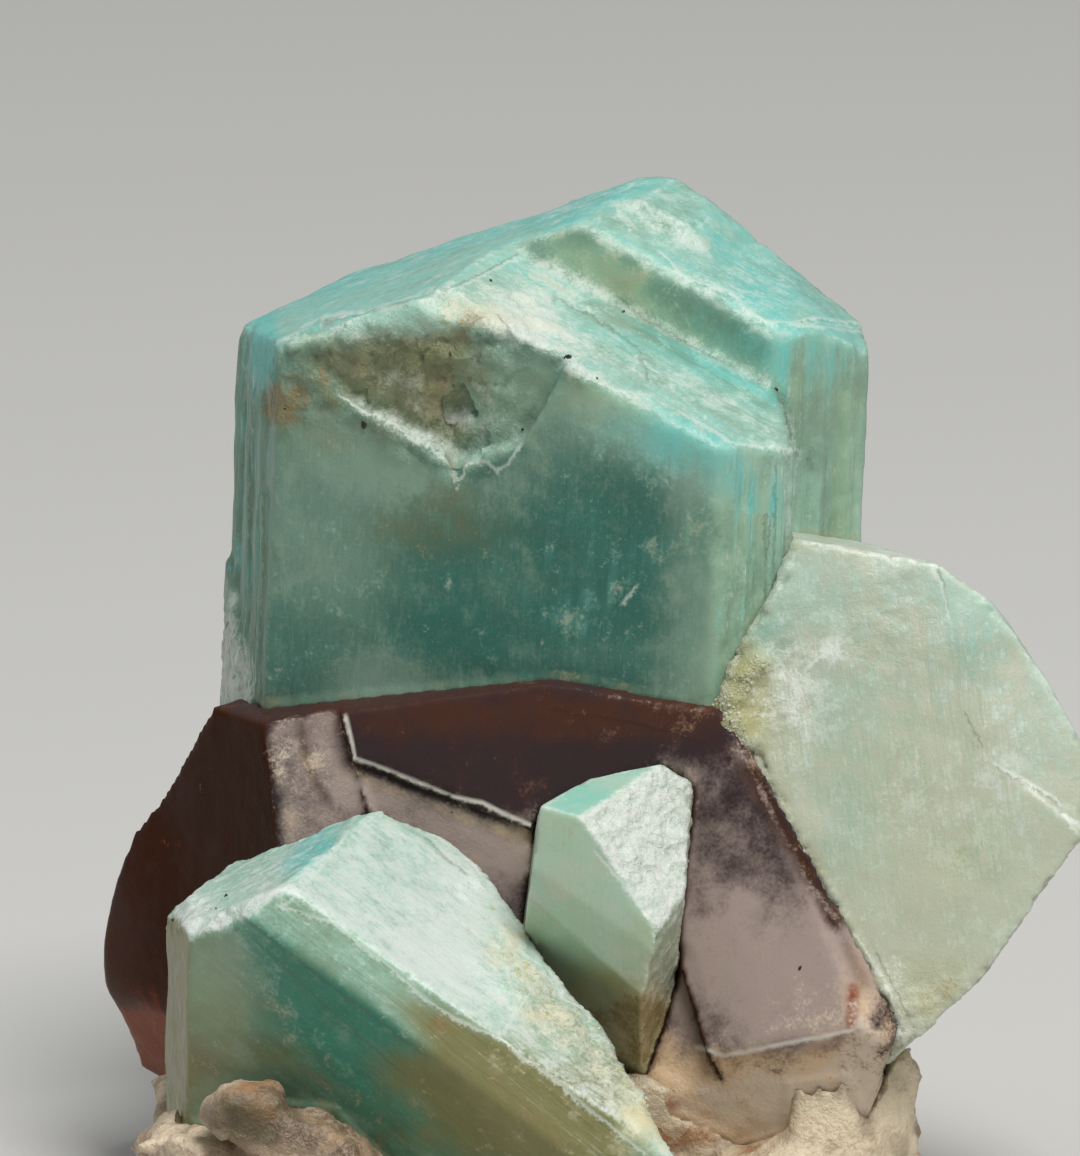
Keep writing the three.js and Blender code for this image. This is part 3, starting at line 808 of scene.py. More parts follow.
tall_spots = {
    "teal": [
        (600, 560, 130, 110, 0.4), (680, 500, 50, 60, 0.15), (560, 650, 170, 60, 0.25),
        (300, 650, 60, 60, 0.2), (450, 610, 60, 60, 0.3), (600, 650, 60, 24, -0.25),
        (330, 490, 50, 50, 0.2), (740, 560, 40, 120, 0.4), ([(640, 330), (700, 362), (770, 398)], 12, 0.4),
        (420, 440, 120, 60, -0.5), (320, 500, 70, 90, -0.25), (420, 620, 60, 70, 0.1),
        ([(640, 300), (700, 345), (785, 392)], 26, 0.3), (445, 525, 60, 36, 0.35), (470, 395, 50, 40, -0.3),
        (380, 545, 50, 40, 0.1), (LEDGE, 8, 0.5), ([(745, 480), (740, 680)], 50, -0.1),
        ([(690, 500), (690, 690)], 34, -0.45), (390, 680, 60, 30, -0.3), (480, 590, 80, 30, -0.15),
        (505, 400, 60, 50, -0.2), ([(600, 400), (700, 450), (770, 490)], 24, -0.3)],
    "green": [
        (REAR_GROOVE, 24, 0.4), (595, 268, 50, 20, 0.3, 30), ([(850, 400), (845, 540)], 16, 0.4),
        ([(750, 500), (745, 700)], 34, 0.3), ([(700, 500), (700, 690)], 26, 0.2), (340, 560, 60, 80, 0.2),
        (505, 390, 50, 40, 0.5), (595, 400, 60, 30, 0.5, 20), (395, 345, 110, 24, 0.3, -10),
        (660, 290, 110, 26, 0.3, 35)],
    # mint: the spot at (395, 345) lifts the shade under the recess's overhanging wall: painted light.
    "mint": [
        (LEDGE, 11, -1.2), ([(350, 325), (440, 318)], 20, 0.5), (380, 362, 80, 14, 0.35, 6),
        ([(600, 415), (660, 440), (720, 475), (790, 500)], 40, 0.5), (REAR_GROOVE, 24, -0.5),
        (770, 520, 30, 120, 0.15), (858, 500, 14, 70, 0.5), (395, 345, 90, 20, 0.3),
        (480, 395, 50, 40, 0.3), (505, 310, 60, 60, 0.4), (400, 320, 130, 16, 0.5, -8),
        (790, 360, 60, 40, 0.3), (330, 540, 70, 120, 0.1), (380, 690, 60, 22, 0.35)],
    "olive": [
        (490, 290, 40, 26, 0.45), (540, 325, 50, 24, 0.2), (390, 345, 90, 20, 0.5),
        (450, 520, 80, 44, 0.55), (380, 540, 40, 40, 0.15), (300, 335, 30, 16, 0.2),
        (620, 285, 40, 12, 0.2, 35), (330, 420, 70, 50, 0.3), (600, 396, 50, 24, 0.35),
        (603, 268, 44, 16, 0.2, 25), (640, 312, 50, 12, 0.2, 38), (410, 366, 110, 34, 0.55),
        (240, 660, 20, 60, 0.35), (430, 400, 60, 50, 0.5), (450, 420, 40, 40, 0.3), (225, 660, 14, 70, 0.4)],
    # milk: the spots at (430, 408) and (500, 400) lift the shade inside the recess: painted light.
    "milk": [
        (760, 282, 50, 24, 0.25), (560, 205, 60, 16, 0.2, -18), (380, 266, 70, 16, 0.15, -20),
        (515, 318, 44, 34, 0.6), (575, 345, 60, 18, 0.5, 22),
        ([(640, 368), (710, 396), (770, 425)], 14, 0.3), (862, 500, 8, 80, 0.3), (465, 290, 40, 20, 0.2),
        (560, 290, 60, 40, 0.2), ([(345, 335), (390, 338), (440, 325)], 16, 0.4),
        ([(560, 362), (620, 386), (700, 421), (760, 446), (794, 452)], 5, 0.3), (790, 520, 7, 160, 0.5),
        (245, 680, 20, 30, 0.4), (250, 370, 16, 50, 0.3), (235, 670, 18, 60, 0.6), (227, 640, 12, 70, 0.5),
        (430, 408, 60, 40, 0.25), (500, 400, 50, 40, 0.2), (660, 210, 50, 25, 0.12),
        (690, 250, 60, 26, 0.1, 30), (395, 378, 26, 8, 0.4),
        ([(686, 279), (731, 293), (763, 321), (814, 319)], 7, 0.2)],
    "vivid": [
        (LEDGE, 11, -1.2), (380, 265, 120, 16, 0.3, -20), (580, 205, 90, 14, 0.35, -18),
        (760, 340, 60, 24, 0.35, 20), (262, 350, 14, 44, 0.9),
        ([(690, 335), (740, 362), (790, 392)], 20, 0.25), (760, 280, 50, 26, 0.3, 30),
        (690, 440, 40, 26, 0.3, 20), (720, 300, 60, 16, 0.25), (820, 350, 50, 40, 0.25),
        ([(620, 425), (700, 460), (760, 495)], 26, 0.5), (560, 560, 120, 100, 0.2)],
    "rust": [
        (284, 404, 24, 22, 1.0), (310, 374, 34, 22, 0.5), (390, 352, 70, 14, 0.25, -6),
        (463, 330, 12, 18, 0.5, 20), (472, 318, 16, 16, 0.5), (452, 466, 7, 12, 1.0),
        (480, 368, 30, 12, 0.3), (272, 405, 10, 18, 0.8), (440, 520, 60, 30, 0.3), (335, 405, 16, 12, 0.6),
        (440, 400, 14, 26, 0.5), (400, 380, 60, 30, 0.15)],
    "cream": [
        (515, 305, 50, 34, 0.35), (565, 342, 50, 18, 0.3, 20), (455, 312, 40, 22, 0.5),
        (395, 345, 80, 14, 0.25), (232, 660, 12, 60, 0.3), (425, 385, 30, 20, 0.15)],
    "kept_plain": [(LEDGE, 16, 1.0)],
    "rough": [
        (430, 400, 100, 60, 0.7, 18), (520, 310, 60, 60, 0.5), (390, 340, 110, 30, 0.5),
        (300, 390, 40, 40, 0.5), ([(560, 362), (700, 421), (790, 452)], 10, 0.4), (232, 660, 14, 60, 0.5)],
    "grooved": [(250, 560, 40, 200, 0.3), (250, 440, 30, 90, 0.2), (765, 560, 40, 120, 0.3)],
}
tall_soft = [
    ([(709, 490), (706, 700)], 22, 1.0), (REAR_GROOVE, 40, 1.0),
    ([(588, 224), (690, 280), (774, 325)], 36, 0.7), (452, 405, 34, 34, 0.5), (545, 250, 40, 40, 0.4)]
tall_lines = {
    "pale_line": [
        FRONT_RIM, [(666, 259), (686, 279), (709, 287), (731, 293), (746, 310), (763, 321), (789, 324)],
        [(789, 324), (814, 319), (866, 324)], [(282, 340), (325, 317), (420, 302), (470, 282), (510, 262)],
        [(627, 598), (632, 592)],
        [(445, 462), (455, 482), (464, 477), (467, 461), (490, 462), (497, 470), (507, 465), (518, 449)],
        [(620, 216), (628, 226)], [(345, 400), (448, 461)]],
    "dark_line": [
        [(330, 322), (420, 298), (470, 280), (512, 258)], [(620, 300), (650, 322), (677, 338), (729, 366)],
        [(777, 396), (790, 430), (790, 450)], [(560, 300), (600, 320), (640, 350), (646, 374)],
        [(500, 320), (520, 345), (556, 352)], [(250, 440), (251, 640)], [(264, 500), (262, 700)],
        [(776, 470), (774, 560)], [(766, 520), (764, 640)]],
}
AMOUNTS = dict.fromkeys(("teal", "green", "mint", "vivid", "olive", "milk", "rust", "cream", "rough",
                         "grooved"), 0.0) | {"teal": 0.3, "grooved": 0.2}

tall = fine_copy("amazonite_tall_crystal", "amazonite_tall", 0.4, 3, tall_soft)
tall_found = paint(tall, "amazonite_tall", tall_faces, tall_spots, AMOUNTS, tall_lines)
tall_raised = spots(tall_found, [(452, 414, 9, 17, -1.2), (452, 466, 9, 11, -0.9),
                                 ([(345, 402), (400, 434), (446, 462)], 5, 0.3)])
write(tall, "raised", spread(tall, tall_raised, 1))
with_relief(tall, AMAZONITE, groove=(0.8, 0.6), grain=(1.8, 2.4), block=(1.6, 0.8), chip=3.5, wave=0.6,
            shift=1.0)

# ---- the pale crystal on the right ----
RIGHT_STREAK = (14, 100)
right_faces = {
    "front": face(-4, 22, streak=RIGHT_STREAK),
    "top": face(142.5, 73.5, milk=0.4),
    "side": face(100, 28, milk=0.3, mint=0.5, grooved=0.5),
    "right": face(91, -4, milk=0.3, grooved=0.5),
    "low": face(80, -40, milk=0.3, rough=0.4),
    "left": face(-57, 10, milk=0.4, rough=0.5),
    "back": face(176, -22, grooved=0.4),
}
right_spots = {
    "teal": [
        (770, 640, 22, 26, 0.4), (985, 643, 44, 36, 0.45), (1010, 700, 40, 40, 0.2),
        (850, 690, 90, 60, 0.15), (840, 770, 40, 90, 0.2), (800, 600, 90, 40, 0.3), (745, 600, 30, 60, 0.2),
        (860, 850, 40, 60, 0.15)],
    "mint": [
        (990, 580, 70, 50, 0.6), (1040, 700, 50, 90, 0.4), (850, 590, 110, 44, 0.45),
        (800, 570, 40, 30, 0.3), (960, 620, 40, 40, 0.3), (870, 720, 70, 60, 0.15)],
    "vivid": [(985, 636, 34, 30, 0.35), (1000, 600, 40, 24, 0.15)],
    "olive": [
        (760, 700, 40, 70, 0.25), (930, 1000, 60, 50, 0.4), (900, 900, 90, 90, 0.2),
        (740, 730, 30, 60, 0.4), (745, 690, 26, 50, 0.6), (900, 760, 90, 60, 0.15),
        (780, 820, 24, 60, 0.25), (960, 860, 60, 60, 0.1)],
    "rust": [
        (943, 1000, 30, 26, 0.5), (968, 975, 22, 12, 0.3), (905, 1040, 14, 26, 0.4),
        (870, 770, 20, 60, 0.12)],
    "milk": [
        (880, 560, 60, 20, 0.2), (805, 700, 50, 80, 0.12), (785, 695, 30, 50, 0.3), (830, 650, 20, 14, 0.4),
        (1000, 740, 24, 60, 0.2), (930, 800, 60, 40, 0.12), (890, 990, 20, 40, 0.3),
        (905, 1030, 16, 24, 0.3)],
    "rough": [
        (770, 680, 44, 60, 0.35), (930, 1010, 60, 40, 0.4), (880, 620, 60, 60, 0.2), (735, 690, 16, 60, 0.5)],
    "cream": [
        (940, 1000, 40, 22, 0.5), (745, 700, 16, 40, 0.12), (895, 1020, 14, 34, 0.3),
        (860, 960, 12, 50, 0.3)],
    "grooved": [(970, 690, 60, 90, 0.3), (765, 730, 40, 60, 0.3)],
}
RIGHT_SEAM = [(760, 664), (743, 680), (727, 710), (745, 740)]
right_lines = {
    "pale_line": [
        [(933, 567), (943, 590), (947, 612)], [(1000, 767), (1022, 779), (1053, 797), (1073, 827)],
        [(812, 664), (830, 650), (838, 652)], [(858, 940), (887, 985), (902, 1040)]],
    "dark_line": [
        [(1003, 771), (1022, 783), (1052, 801)], [(940, 570), (946, 600)], [(880, 960), (905, 1010)],
        [(968, 720), (978, 740)]],
}
right = fine_copy("amazonite_right_crystal", "amazonite_right", 0.29, 5)
right_found = paint(
    right, "amazonite_right", right_faces, right_spots,
    AMOUNTS | {"teal": 0.08, "olive": 0.12, "milk": 0.2, "rough": 0.03, "grooved": 0.12}, right_lines)
write(right, "raised", spots(right_found, [(RIGHT_SEAM, 13, 0.9)]) * (right_found["facing"] > 0))
with_relief(right, PALE, groove=(1.0, 0.5), grain=(2.0, 2.0), block=(1.4, 0.5), chip=5.0, wave=0.5, shift=2.0)

# ---- the lower left crystal ----
FRONT_STREAK = (266, 213)
front_faces = {
    "front": face(-23.5, -12, streak=FRONT_STREAK, teal=0.55, grooved=0.1, edge=0.5),
    "left": face(-83, -0.5, streak=(0, 1), grooved=0.2, olive=0.5, teal=0.5, mint=0.0, edge=0.5),
    "left_back": face(-133, 1.5, grooved=0.5),
    "roof_left": face(-108, 62.5, streak=(85, -100), mint=0.9, vivid=0.2, milk=0.35, grooved=0.4, teal=0.0,
                      rough=0.2),
    "roof_chip": face(-109, 38.5, rough=0.35, milk=0.6, mint=0.5),
    "chipped_corner": face(-60, 45, rough=0.5, milk=0.8, mint=0.5),
    "bevel": face(-4.5, 16, streak=FRONT_STREAK, teal=0.2, mint=0.35, milk=0.05, green=0.2, grooved=0.5),
    "end": face(68.5, 57.5, streak=FRONT_STREAK, milk=0.7, mint=0.9, grooved=0.25, rough=0.04, teal=0.0,
                vivid=0.1),
    "rim": face(142.5, 13.5, milk=0.4, rough=0.5, olive=0.3, mint=0.5),
    "back": face(161, -17, rough=0.4),
}
LOWER_RIM = [(520, 985), (560, 1020), (600, 1050), (650, 1110)]
front_spots = {
    "teal": [
        (250, 1010, 40, 50, 0.3), (420, 1090, 90, 40, 0.5, 40), (320, 1000, 90, 50, 0.4, 42),
        (400, 1085, 110, 50, 0.3, 40), (250, 920, 60, 30, 0.3, 40), (200, 1010, 60, 110, -0.7),
        (300, 1090, 60, 50, -0.1), (500, 1100, 110, 30, -0.5, 38)],
    "olive": [
        ([(540, 1040), (600, 1090), (670, 1156)], 34, 0.16), (420, 1095, 70, 40, 0.45),
        (385, 1062, 40, 24, 0.3, 40), (490, 1135, 80, 30, 0.4), (255, 1020, 40, 50, 0.3),
        (200, 1010, 60, 110, 0.35), (515, 1080, 120, 34, 0.8, 38), (480, 1100, 90, 30, 0.8, 30),
        (600, 1060, 90, 30, 0.4, 45), (500, 930, 30, 50, 0.25, 60), (570, 1120, 90, 40, 0.6, 38),
        (470, 1145, 90, 24, 0.4), (395, 1000, 40, 16, 0.15, 35), (430, 1022, 44, 16, 0.3, 35),
        (470, 1045, 50, 16, 0.3, 35), (540, 1010, 50, 40, 0.35, 45), (600, 1080, 40, 60, 0.3, 45),
        (190, 1080, 30, 40, 0.4), (175, 940, 14, 60, 0.4), (290, 1060, 60, 20, 0.3)],
    "mint": [(220, 960, 60, 60, 0.25), (260, 1000, 50, 70, 0.1), (350, 960, 100, 20, 0.2, 38)],
    "milk": [
        (190, 912, 34, 22, 0.5), (440, 960, 60, 40, 0.3, 40), (470, 880, 40, 40, 0.25),
        ([(520, 1010), (600, 1085), (660, 1150)], 34, -0.1), (310, 905, 60, 12, 0.3, 20),
        (275, 880, 40, 20, 0.2, -30)],
    "vivid": [(308, 856, 34, 18, 0.7, -40), (398, 870, 30, 30, 0.25), (340, 830, 40, 16, 0.2, -30)],
    "rust": [
        (436, 1024, 16, 8, 0.8), (452, 1034, 10, 6, 0.5), (530, 1108, 80, 20, 0.45, 38),
        (400, 1135, 50, 16, 0.4), (300, 1070, 60, 10, 0.35, 20), (490, 890, 10, 30, 0.2)],
    "cream": [
        ([(505, 950), (525, 1000), (580, 1050), (640, 1110)], 26, 0.5), (650, 1140, 40, 30, 0.5),
        (500, 1062, 30, 16, 0.4, 35), (560, 1100, 60, 12, 0.25, 40), (195, 915, 24, 14, 0.3)],
    "kept_plain": [([(262, 925), (330, 985), (430, 1055), (560, 1140)], 12, 0.85)],
    "rough": [
        (190, 912, 36, 26, 0.3), ([(500, 960), (560, 1020), (640, 1100)], 26, 0.5),
        (485, 880, 14, 50, 0.4, 60)],
}
front_lines = {
    "pale_line": [
        [(284, 908), (330, 922), (380, 960), (440, 1010), (500, 1040), (560, 1085), (640, 1150)],
        [(362, 812), (320, 868), (286, 905)], [(498, 950), (505, 985)], [(530, 990), (505, 1030)]],
    "dark_line": [
        [(250, 922), (330, 984), (420, 1052)], [(262, 946), (330, 1010), (400, 1070)],
        [(440, 836), (470, 852), (490, 880)], [(430, 845), (460, 870)]],
}
front = fine_copy("amazonite_front_crystal", "amazonite_front", 0.28, 4,
                  [(165, 910, 20, 20, 0.5), (700, 1150, 60, 60, 0.6)])
front_found = paint(front, "amazonite_front", front_faces, front_spots, AMOUNTS | {"teal": 0.3}, front_lines)
write(front, "raised", spots(front_found, [(LOWER_RIM, 26, 0.8)]) * (front_found["facing"] > 0))
with_relief(front, GREEN, groove=(0.9, 0.5), grain=(2.8, 4.0), block=(2.2, 0.5), chip=3.0, wave=0.7,
            shift=3.0)

# ---- the small crystal ----
small_faces = {
    "front": face(-20, 0, mint=0.4, olive=0.1, teal=0.1, green=0.35, edge=0.5),
    "under": face(-44, -29.5, olive=0.2, teal=0.15, green=0.3, mint=0.2, edge=0.2),
    "roof_left": face(14.5, 71.5, vivid=0.45, mint=0.6, streak=(3, -1)),
    "end": face(43.5, 34.5, milk=0.85, mint=0.8, rough=0.9),
    "left": face(-92.5, 7.5, mint=0.4, grooved=0.3),
    "right": face(85, -8, milk=0.4, rough=0.5),
    "back": face(161, 10, milk=0.2),
}
small_spots = {
    "olive": [
        (600, 990, 50, 24, 0.42), (650, 930, 40, 40, 0.2), (570, 900, 30, 40, 0.15),
        (650, 1010, 40, 60, 0.3)],
    "rust": [(620, 1016, 60, 14, 0.5), (648, 1030, 44, 56, 0.85)],
    # cream: the spot at (648, 1035) lightens the lower end, which looks down into shade: painted light.
    "cream": [(648, 1035, 44, 56, 1.2)],
    "milk": [([(665, 960), (650, 1070)], 26, -1.0)],
    "teal": [(560, 930, 40, 40, 0.35), (600, 970, 40, 30, 0.2)],
    "mint": [(590, 860, 60, 40, 0.2), (640, 900, 40, 30, 0.2)],
    "rough": [(640, 900, 30, 20, -0.5)],
    "vivid": [(590, 795, 40, 14, 0.3, -10)],
}
small_lines = {
    "pale_line": [[(588, 816), (620, 800), (673, 765)], [(600, 858), (645, 912)], [(690, 782), (684, 861)]],
}
small = fine_copy("amazonite_small_crystal", "amazonite_small", 0.2, 4)
paint(small, "amazonite_small", small_faces, small_spots, AMOUNTS | {"teal": 0.2}, small_lines)
with_relief(small, PALE, groove=(0.8, 0.3), grain=(1.4, 1.4), block=(1.2, 0.3), chip=2.0, wave=0.3, shift=4.0)

# ---- the smoky quartz ----
quartz_faces = {
    "main": face(-19, 17, edge=0.5),
    "shell": face(-9.5, 19, pale=0.66, tan=0.2),
    "break": face(-20, 12, pale=0.6, tan=0.15),
    # The left face's extra red and brown is partly painted shade: that face turns away from the light.
    "left": face(-62, 4, red=0.8, brown=0.75, edge=0.5),
    "top": face(0, 84, red=0.3, edge=0.4),
    "right": face(35, 35, pale=0.1, tan=0.3),
    "under": face(-9.5, -20, tan=0.2),
    "back": face(180, 0, red=0.3, edge=0.3),
}
quartz_spots = {
    "red": [
        (560, 715, 240, 26, 0.55), (420, 720, 60, 20, 0.2), (170, 860, 40, 120, -0.2),
        (140, 1060, 60, 70, 0.4)],
    # brown: the two thin curved bands between columns 300 and 346 are painted shade along the shell-shaped
    # ripples.
    "brown": [
        ([(750, 770), (790, 842), (832, 915)], 14, 0.9), ([(838, 925), (864, 985)], 9, 0.6),
        (240, 790, 50, 70, 0.3), ([(300, 722), (306, 757), (318, 785), (332, 806)], 4, 1.2),
        ([(334, 722), (338, 750), (346, 775)], 4, 0.8), (130, 940, 26, 60, -0.5),
        (140, 1070, 60, 60, -0.45), (550, 700, 260, 22, 0.15)],
    # pale: frosted, shell-broken quartz; the band under the upper ledge, from (352, 790) to (525, 852),
    # lightens the ledge's shaded wall as painted light.
    "pale": [
        ([(352, 790), (400, 804), (450, 824), (525, 852)], 16, 0.7), (700, 900, 40, 70, 0.2),
        (675, 965, 30, 50, 0.4), (640, 745, 60, 24, 0.15), (785, 975, 90, 95, 0.95),
        (728, 848, 75, 72, 0.42), (850, 965, 30, 60, 0.5), (690, 775, 50, 24, 0.3), (480, 860, 90, 50, 0.1),
        (560, 760, 160, 30, -0.1), (165, 850, 30, 60, 0.15), (760, 1010, 90, 50, 0.2)],
    # tan: the quartz's own tan, but the band under the upper ledge lightens its shaded wall, and the large
    # spot at (720, 1110) is painted glow on the under side, which looks down into shade.
    "tan": [
        ([(352, 774), (450, 813), (535, 842)], 5, 0.5), (810, 1010, 70, 24, 0.3), (720, 1110, 150, 58, 1.0),
        (625, 1030, 50, 50, 0.8), (290, 790, 40, 70, 0.1), (850, 1080, 60, 60, 0.2),
        (698, 722, 24, 12, 0.3), (640, 742, 70, 30, 0.12)],
    # rust: stains and crack lines; the band from (704, 1062) to (846, 1042) is painted shadow under the lower
    # ledge.
    "rust": [
        (150, 1065, 36, 60, 0.55), (854, 1010, 5, 24, 0.3), (150, 1070, 60, 70, 0.9),
        (640, 1058, 16, 18, 0.5), (672, 1110, 14, 30, 0.4, 30),
        ([(628, 1035), (645, 1070), (668, 1105)], 6, 0.6), ([(853, 988), (850, 1032)], 4, 1.3),
        ([(704, 1062), (760, 1056), (846, 1042)], 5, 0.4), (120, 1030, 20, 30, 0.3)],
    # milk: the band along the upper ledge, from (343, 718) to (529, 830), is a painted highlight on its lit
    # lip.
    "milk": [
        (107, 970, 8, 36, 0.6), (815, 1008, 50, 34, 0.3, -8), (695, 1092, 36, 36, 0.35),
        (745, 1125, 80, 30, 0.3), (100, 930, 8, 30, 0.3), (765, 1005, 90, 44, 0.12),
        ([(343, 718), (350, 763), (377, 772), (451, 802), (529, 830)], 4, 0.6), (790, 1100, 80, 40, 0.6),
        (862, 1085, 30, 70, 0.8), (285, 750, 12, 40, 0.4), (322, 770, 8, 40, 0.4, -20),
        (760, 1090, 60, 30, 0.3), (300, 780, 30, 50, 0.2)],
    "kept_plain": [(120, 890, 80, 190, 0.9)],
    "rough": [
        (300, 780, 50, 70, 0.5), (430, 820, 120, 40, 0.25), (700, 1110, 110, 60, 0.5),
        (780, 830, 30, 60, 0.3)],
}
quartz_lines = {
    # The upper ledge's lip is a painted highlight: a pale line along it.
    "pale_line": [
        [(347, 724), (351, 742), (354, 759), (378, 767), (416, 782), (452, 797), (482, 803), (506, 815),
         (530, 825)],
        [(704, 1049), (724, 1056), (846, 1032)]],
    "dark_line": [[(258, 734), (264, 799), (277, 826)], [(560, 710), (640, 724), (700, 742)]],
}
quartz_soft = [(120, 960, 24, 60, 0.4), ([(378, 775), (452, 805), (530, 833)], 9, 0.8),
               ([(679, 960), (700, 1020), (722, 1085)], 12, 0.9)]
quartz = fine_copy("smoky_quartz_crystal", "smoky_quartz", 0.39, 3, quartz_soft)
quartz_amounts = dict.fromkeys(("pale", "brown", "tan", "rust", "milk", "grooved"), 0.0)
quartz_found = paint(quartz, "smoky_quartz", quartz_faces, quartz_spots,
                     quartz_amounts | {"red": 0.1, "rough": 0.05}, quartz_lines, evenness=4)
leftwards = smooth(-quartz_found["facet"][:, 0], 0.2, 0.8)
write(quartz, "raised", spots(quartz_found, [(112, 905, 60, 90, 2.2)]) * leftwards)
with_relief(quartz, QUARTZ, grain=(2.0, 0.9), chip=1.6, wave=0.3, shift=5.0)
round_the_side = quartz_found | {"facing": quartz_found["facing"] + 0.5}
swelling = np.clip(spots(round_the_side, [(100, 920, 44, 150, 1.0)]), 0, 1)
move_to(quartz, spread(quartz, vertex_places(quartz), 16, swelling))

# ---- the feldspar matrix ----
matrix_spots = {
    # milk: the spot at (885, 1070) lifts a hollow in shade on the right: painted light.
    "milk": [
        (180, 1120, 40, 40, 0.3), (885, 1070, 60, 90, 0.9), (645, 1090, 30, 40, 0.7),
        (780, 1130, 140, 50, 0.45)],
    "brown": [
        (330, 1110, 80, 40, 1.0), (380, 1145, 60, 30, 1.0), (250, 1120, 60, 30, 1.0),
        (285, 1095, 40, 20, 0.5)],
    "rust": [
        (262, 1082, 30, 10, 0.35), (740, 1140, 120, 20, 0.4), (880, 1010, 24, 20, 0.5),
        (690, 1120, 60, 24, 0.3), ([(225, 1092), (300, 1118), (380, 1156)], 26, 0.3)],
    "olive": [
        (250, 1124, 60, 30, 0.7), (640, 1140, 80, 24, 0.4), (600, 1150, 60, 30, 0.5),
        (242, 1110, 20, 14, 0.3), (760, 1145, 90, 16, 0.3)],
}
FOOT_FADE = (0.4, 3.0)       # mm above the ground over which the broken relief sets in
matrix = fine_copy("feldspar_matrix_rock", "feldspar_matrix", 0.46, 5, [(780, 1110, 110, 60, 1.0)], 160)
matrix_found = paint(matrix, "feldspar_matrix", {"all": face(0, 90)}, matrix_spots,
                     {"milk": 0.35, "brown": 0.08, "rust": 0.08, "olive": 0.05, "rough": 1.0, "grooved": 0.0})
above_foot = smooth(vertex_places(matrix)[:, 2] / MM, *FOOT_FADE)
calm = np.clip(spots(matrix_found, [(790, 1110, 150, 90, 0.7)]), 0, 1)
matrix.data.attributes["rough"].data.foreach_set("value", (above_foot * (1 - calm)).astype(np.float32))
with_relief(matrix, FELDSPAR, grain=(3.4, 3.0), block=(2.6, 0.7), chip=2.0, wave=0.0, swell=0.1, shift=6.0)
move_to(matrix, spread(matrix, vertex_places(matrix), 1))

# ---- small broken grains seated on the crystals ----
LUMP = grain_shape("lump", 24, 3)
YELLOW_CRUST = grain_material("yellowish albite crust", "#b2b087", "#c9cdb0", 0.55)
PALE_CRUST = grain_material("pale sugary albite", "#cfcaa2", "#bcbb90", 0.5)
DARK_MICA = grain_material("dark mica grains", "#15110d", "#2c2118", 0.4)
seam_share = spots(right_found, [(RIGHT_SEAM, 8, 1.0)])
rim_share = spots(front_found, [(LOWER_RIM, 16, 0.7), ([(495, 890), (505, 960)], 7, 0.5),
                                ([(650, 1110), (690, 1150)], 14, 0.5)])
grains = [
    (seated_grains("yellow_crust_on_right_crystal", right, seam_share * (right_found["facing"] > 0), LUMP,
                   YELLOW_CRUST, density=14.0, sizes=(0.15, 0.5), seed=2), "pale_amazonite"),
    (seated_grains("pale_crust_on_front_crystal", front, rim_share, LUMP, PALE_CRUST, density=2.5,
                   sizes=(0.3, 1.1), flatness=0.7, sunk=0.3, seed=3), "amazonite"),
]


GRAIN_TURN = 1.3                         # radians from each single grain to the next
GRAIN_WIDTH, GRAIN_DEPTH = 0.55, 0.45    # as shares of its length


def single_grains(name, places, hosts, material):
    """A piece of its own: small grains half sunk in the hosts.

    places: column and row in the frame, and length in mm."""
    skins = [BVHTree.FromObject(host, bpy.context.evaluated_depsgraph_get()) for host in hosts]
    whole = bmesh.new()
    for i, (column, row, length) in enumerate(places):
        off_centre = RIGHT * (column - FRAME_WIDTH / 2) + UP * (FRAME_HEIGHT / 2 - row)
        ray = FORWARD + off_centre * (PIXEL / DISTANCE)
        hits = [skin.ray_cast(EYE, ray.normalized()) for skin in skins]
        place = min((hit for hit in hits if hit[0] is not None), key=lambda hit: hit[3])[0]
        turn = Matrix.Rotation(i * GRAIN_TURN, 3, FORWARD)
        start = len(whole.verts)
        whole.from_mesh(LUMP.data)
        whole.verts.ensure_lookup_table()
        for vertex in whole.verts[start:]:
            x, y, z = vertex.co
            vertex.co = place + turn @ Vector((x * GRAIN_WIDTH, y * GRAIN_DEPTH, z)) * length * MM
    mesh = bpy.data.meshes.new(name)
    whole.to_mesh(mesh)
    whole.free()
    mesh.materials.append(material)
    return linked(name, mesh)


grains.append((single_grains("dark_grains_on_crystals", [
    (364, 424, 0.9), (568, 357, 0.8), (491, 281, 0.45), (623, 312, 0.45), (776, 389, 0.5), (226, 896, 0.5),
    (174, 920, 0.5), (216, 909, 0.35), (523, 429, 0.45), (597, 378, 0.3), (800, 968, 0.5), (285, 409, 0.3),
    (730, 722, 0.35), (452, 812, 0.25)], (tall, right, front, small, quartz), DARK_MICA), "smoky_quartz"))
bpy.data.objects.remove(LUMP)
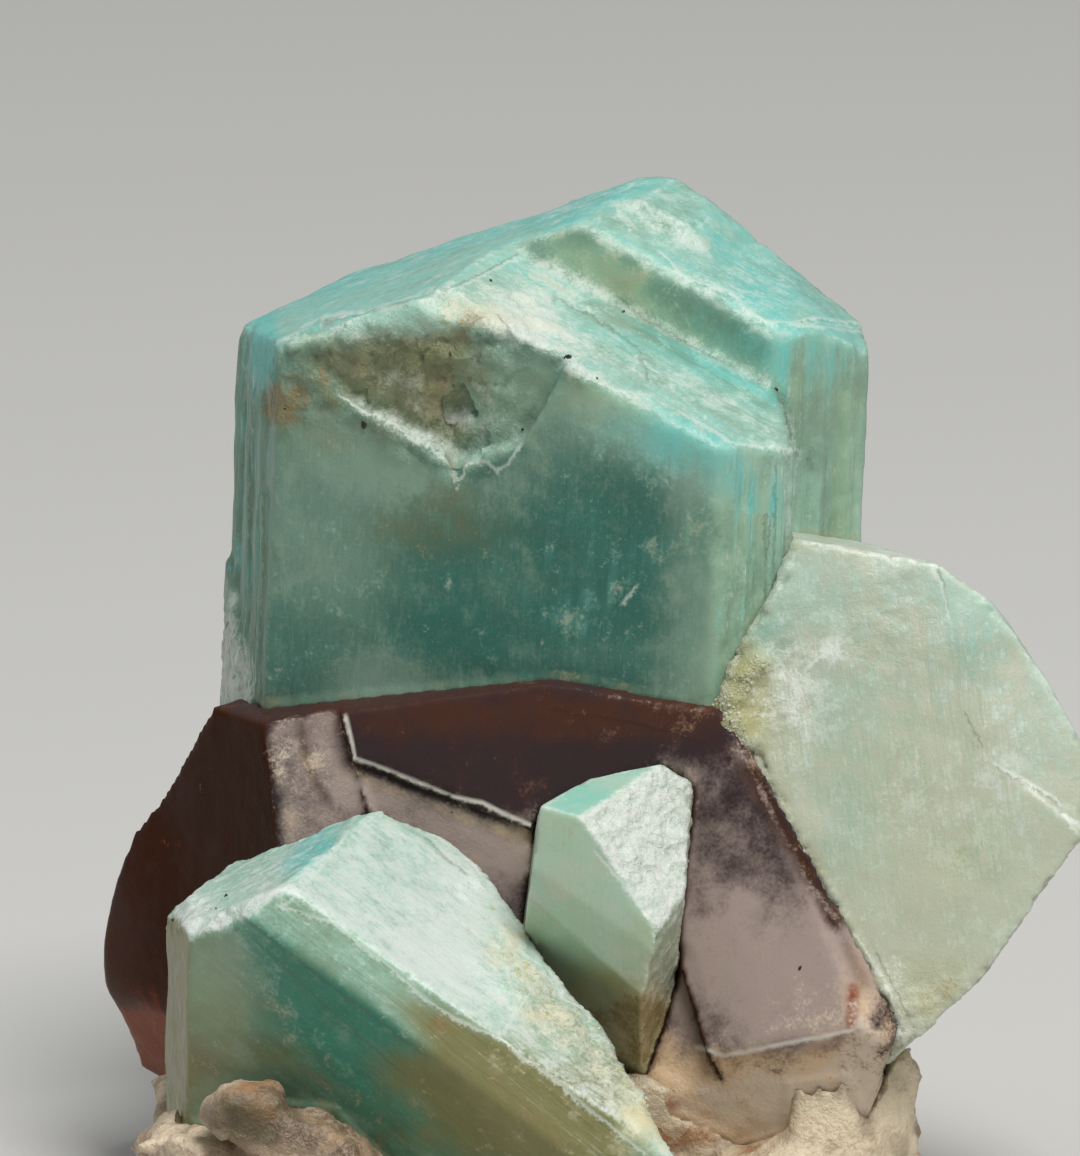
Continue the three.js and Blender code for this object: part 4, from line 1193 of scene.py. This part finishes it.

# ---- each piece hangs from the root, and the CAD node it stands for is hidden ----
for piece, node_name, slot in (
        (tall, "amazonite_tall", "amazonite"),
        (right, "amazonite_right", "pale_amazonite"),
        (front, "amazonite_front", "amazonite"),
        (small, "amazonite_small", "pale_amazonite"),
        (quartz, "smoky_quartz", "smoky_quartz"),
        (matrix, "feldspar_matrix", "feldspar")):
    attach(piece, "root")
    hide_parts(node_name)
for piece, slot in grains:
    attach(piece, "root")

# ---- floor, light and camera ----
FLOOR = 3                                # metres from the middle to each side
floor_mesh = bpy.data.meshes.new("floor")
floor_mesh.from_pydata([(-FLOOR, -FLOOR, 0), (FLOOR, -FLOOR, 0), (FLOOR, FLOOR, 0), (-FLOOR, FLOOR, 0)], [],
                       [(0, 1, 2, 3)])
floor = linked("floor", floor_mesh)
paper, paper_tree = new_material("matt pale paper")
paper_shader = node(paper_tree, "ShaderNodeBsdfPrincipled",
                    {"Base Color": linear("#cfcdc8"), "Roughness": 0.9})
node(paper_tree, "ShaderNodeOutputMaterial", {"Surface": paper_shader.outputs[0]})
floor_mesh.materials.append(paper)


def softbox(name, turn, lift, distance, size, power):
    """A square area light that looks at the cluster. Distance and size in metres, power in watts."""
    data = bpy.data.lights.new(name, "AREA")
    data.size = size
    data.energy = power
    lamp = linked(name, data)
    lamp.location = AIM + toward(turn, lift) * distance
    lamp.rotation_euler = (lamp.location - AIM).to_track_quat("Z", "Y").to_euler()


softbox("key", turn=25, lift=62, distance=1.1, size=0.45, power=11.6)
softbox("fill", turn=-90, lift=62, distance=1.4, size=0.7, power=2.4)
world = bpy.data.worlds.new("studio")
bpy.context.scene.world = world
world.use_nodes = True
sky = world.node_tree.nodes["Background"].inputs
sky["Color"].default_value = linear("#dfe5ea")
sky["Strength"].default_value = 0.25

camera_data = bpy.data.cameras.new("camera")
camera_data.sensor_fit = "VERTICAL"
camera_data.sensor_height = SENSOR
camera_data.lens = SENSOR * DISTANCE / (FRAME_HEIGHT * PIXEL)
camera_data.clip_start = 0.1
camera = linked("camera", camera_data)
camera.location = EYE
camera.rotation_euler = (-FORWARD).to_track_quat("Z", "Y").to_euler()
bpy.context.scene.camera = camera
bpy.context.scene.view_settings.view_transform = "Standard"

bpy.context.view_layer.update()
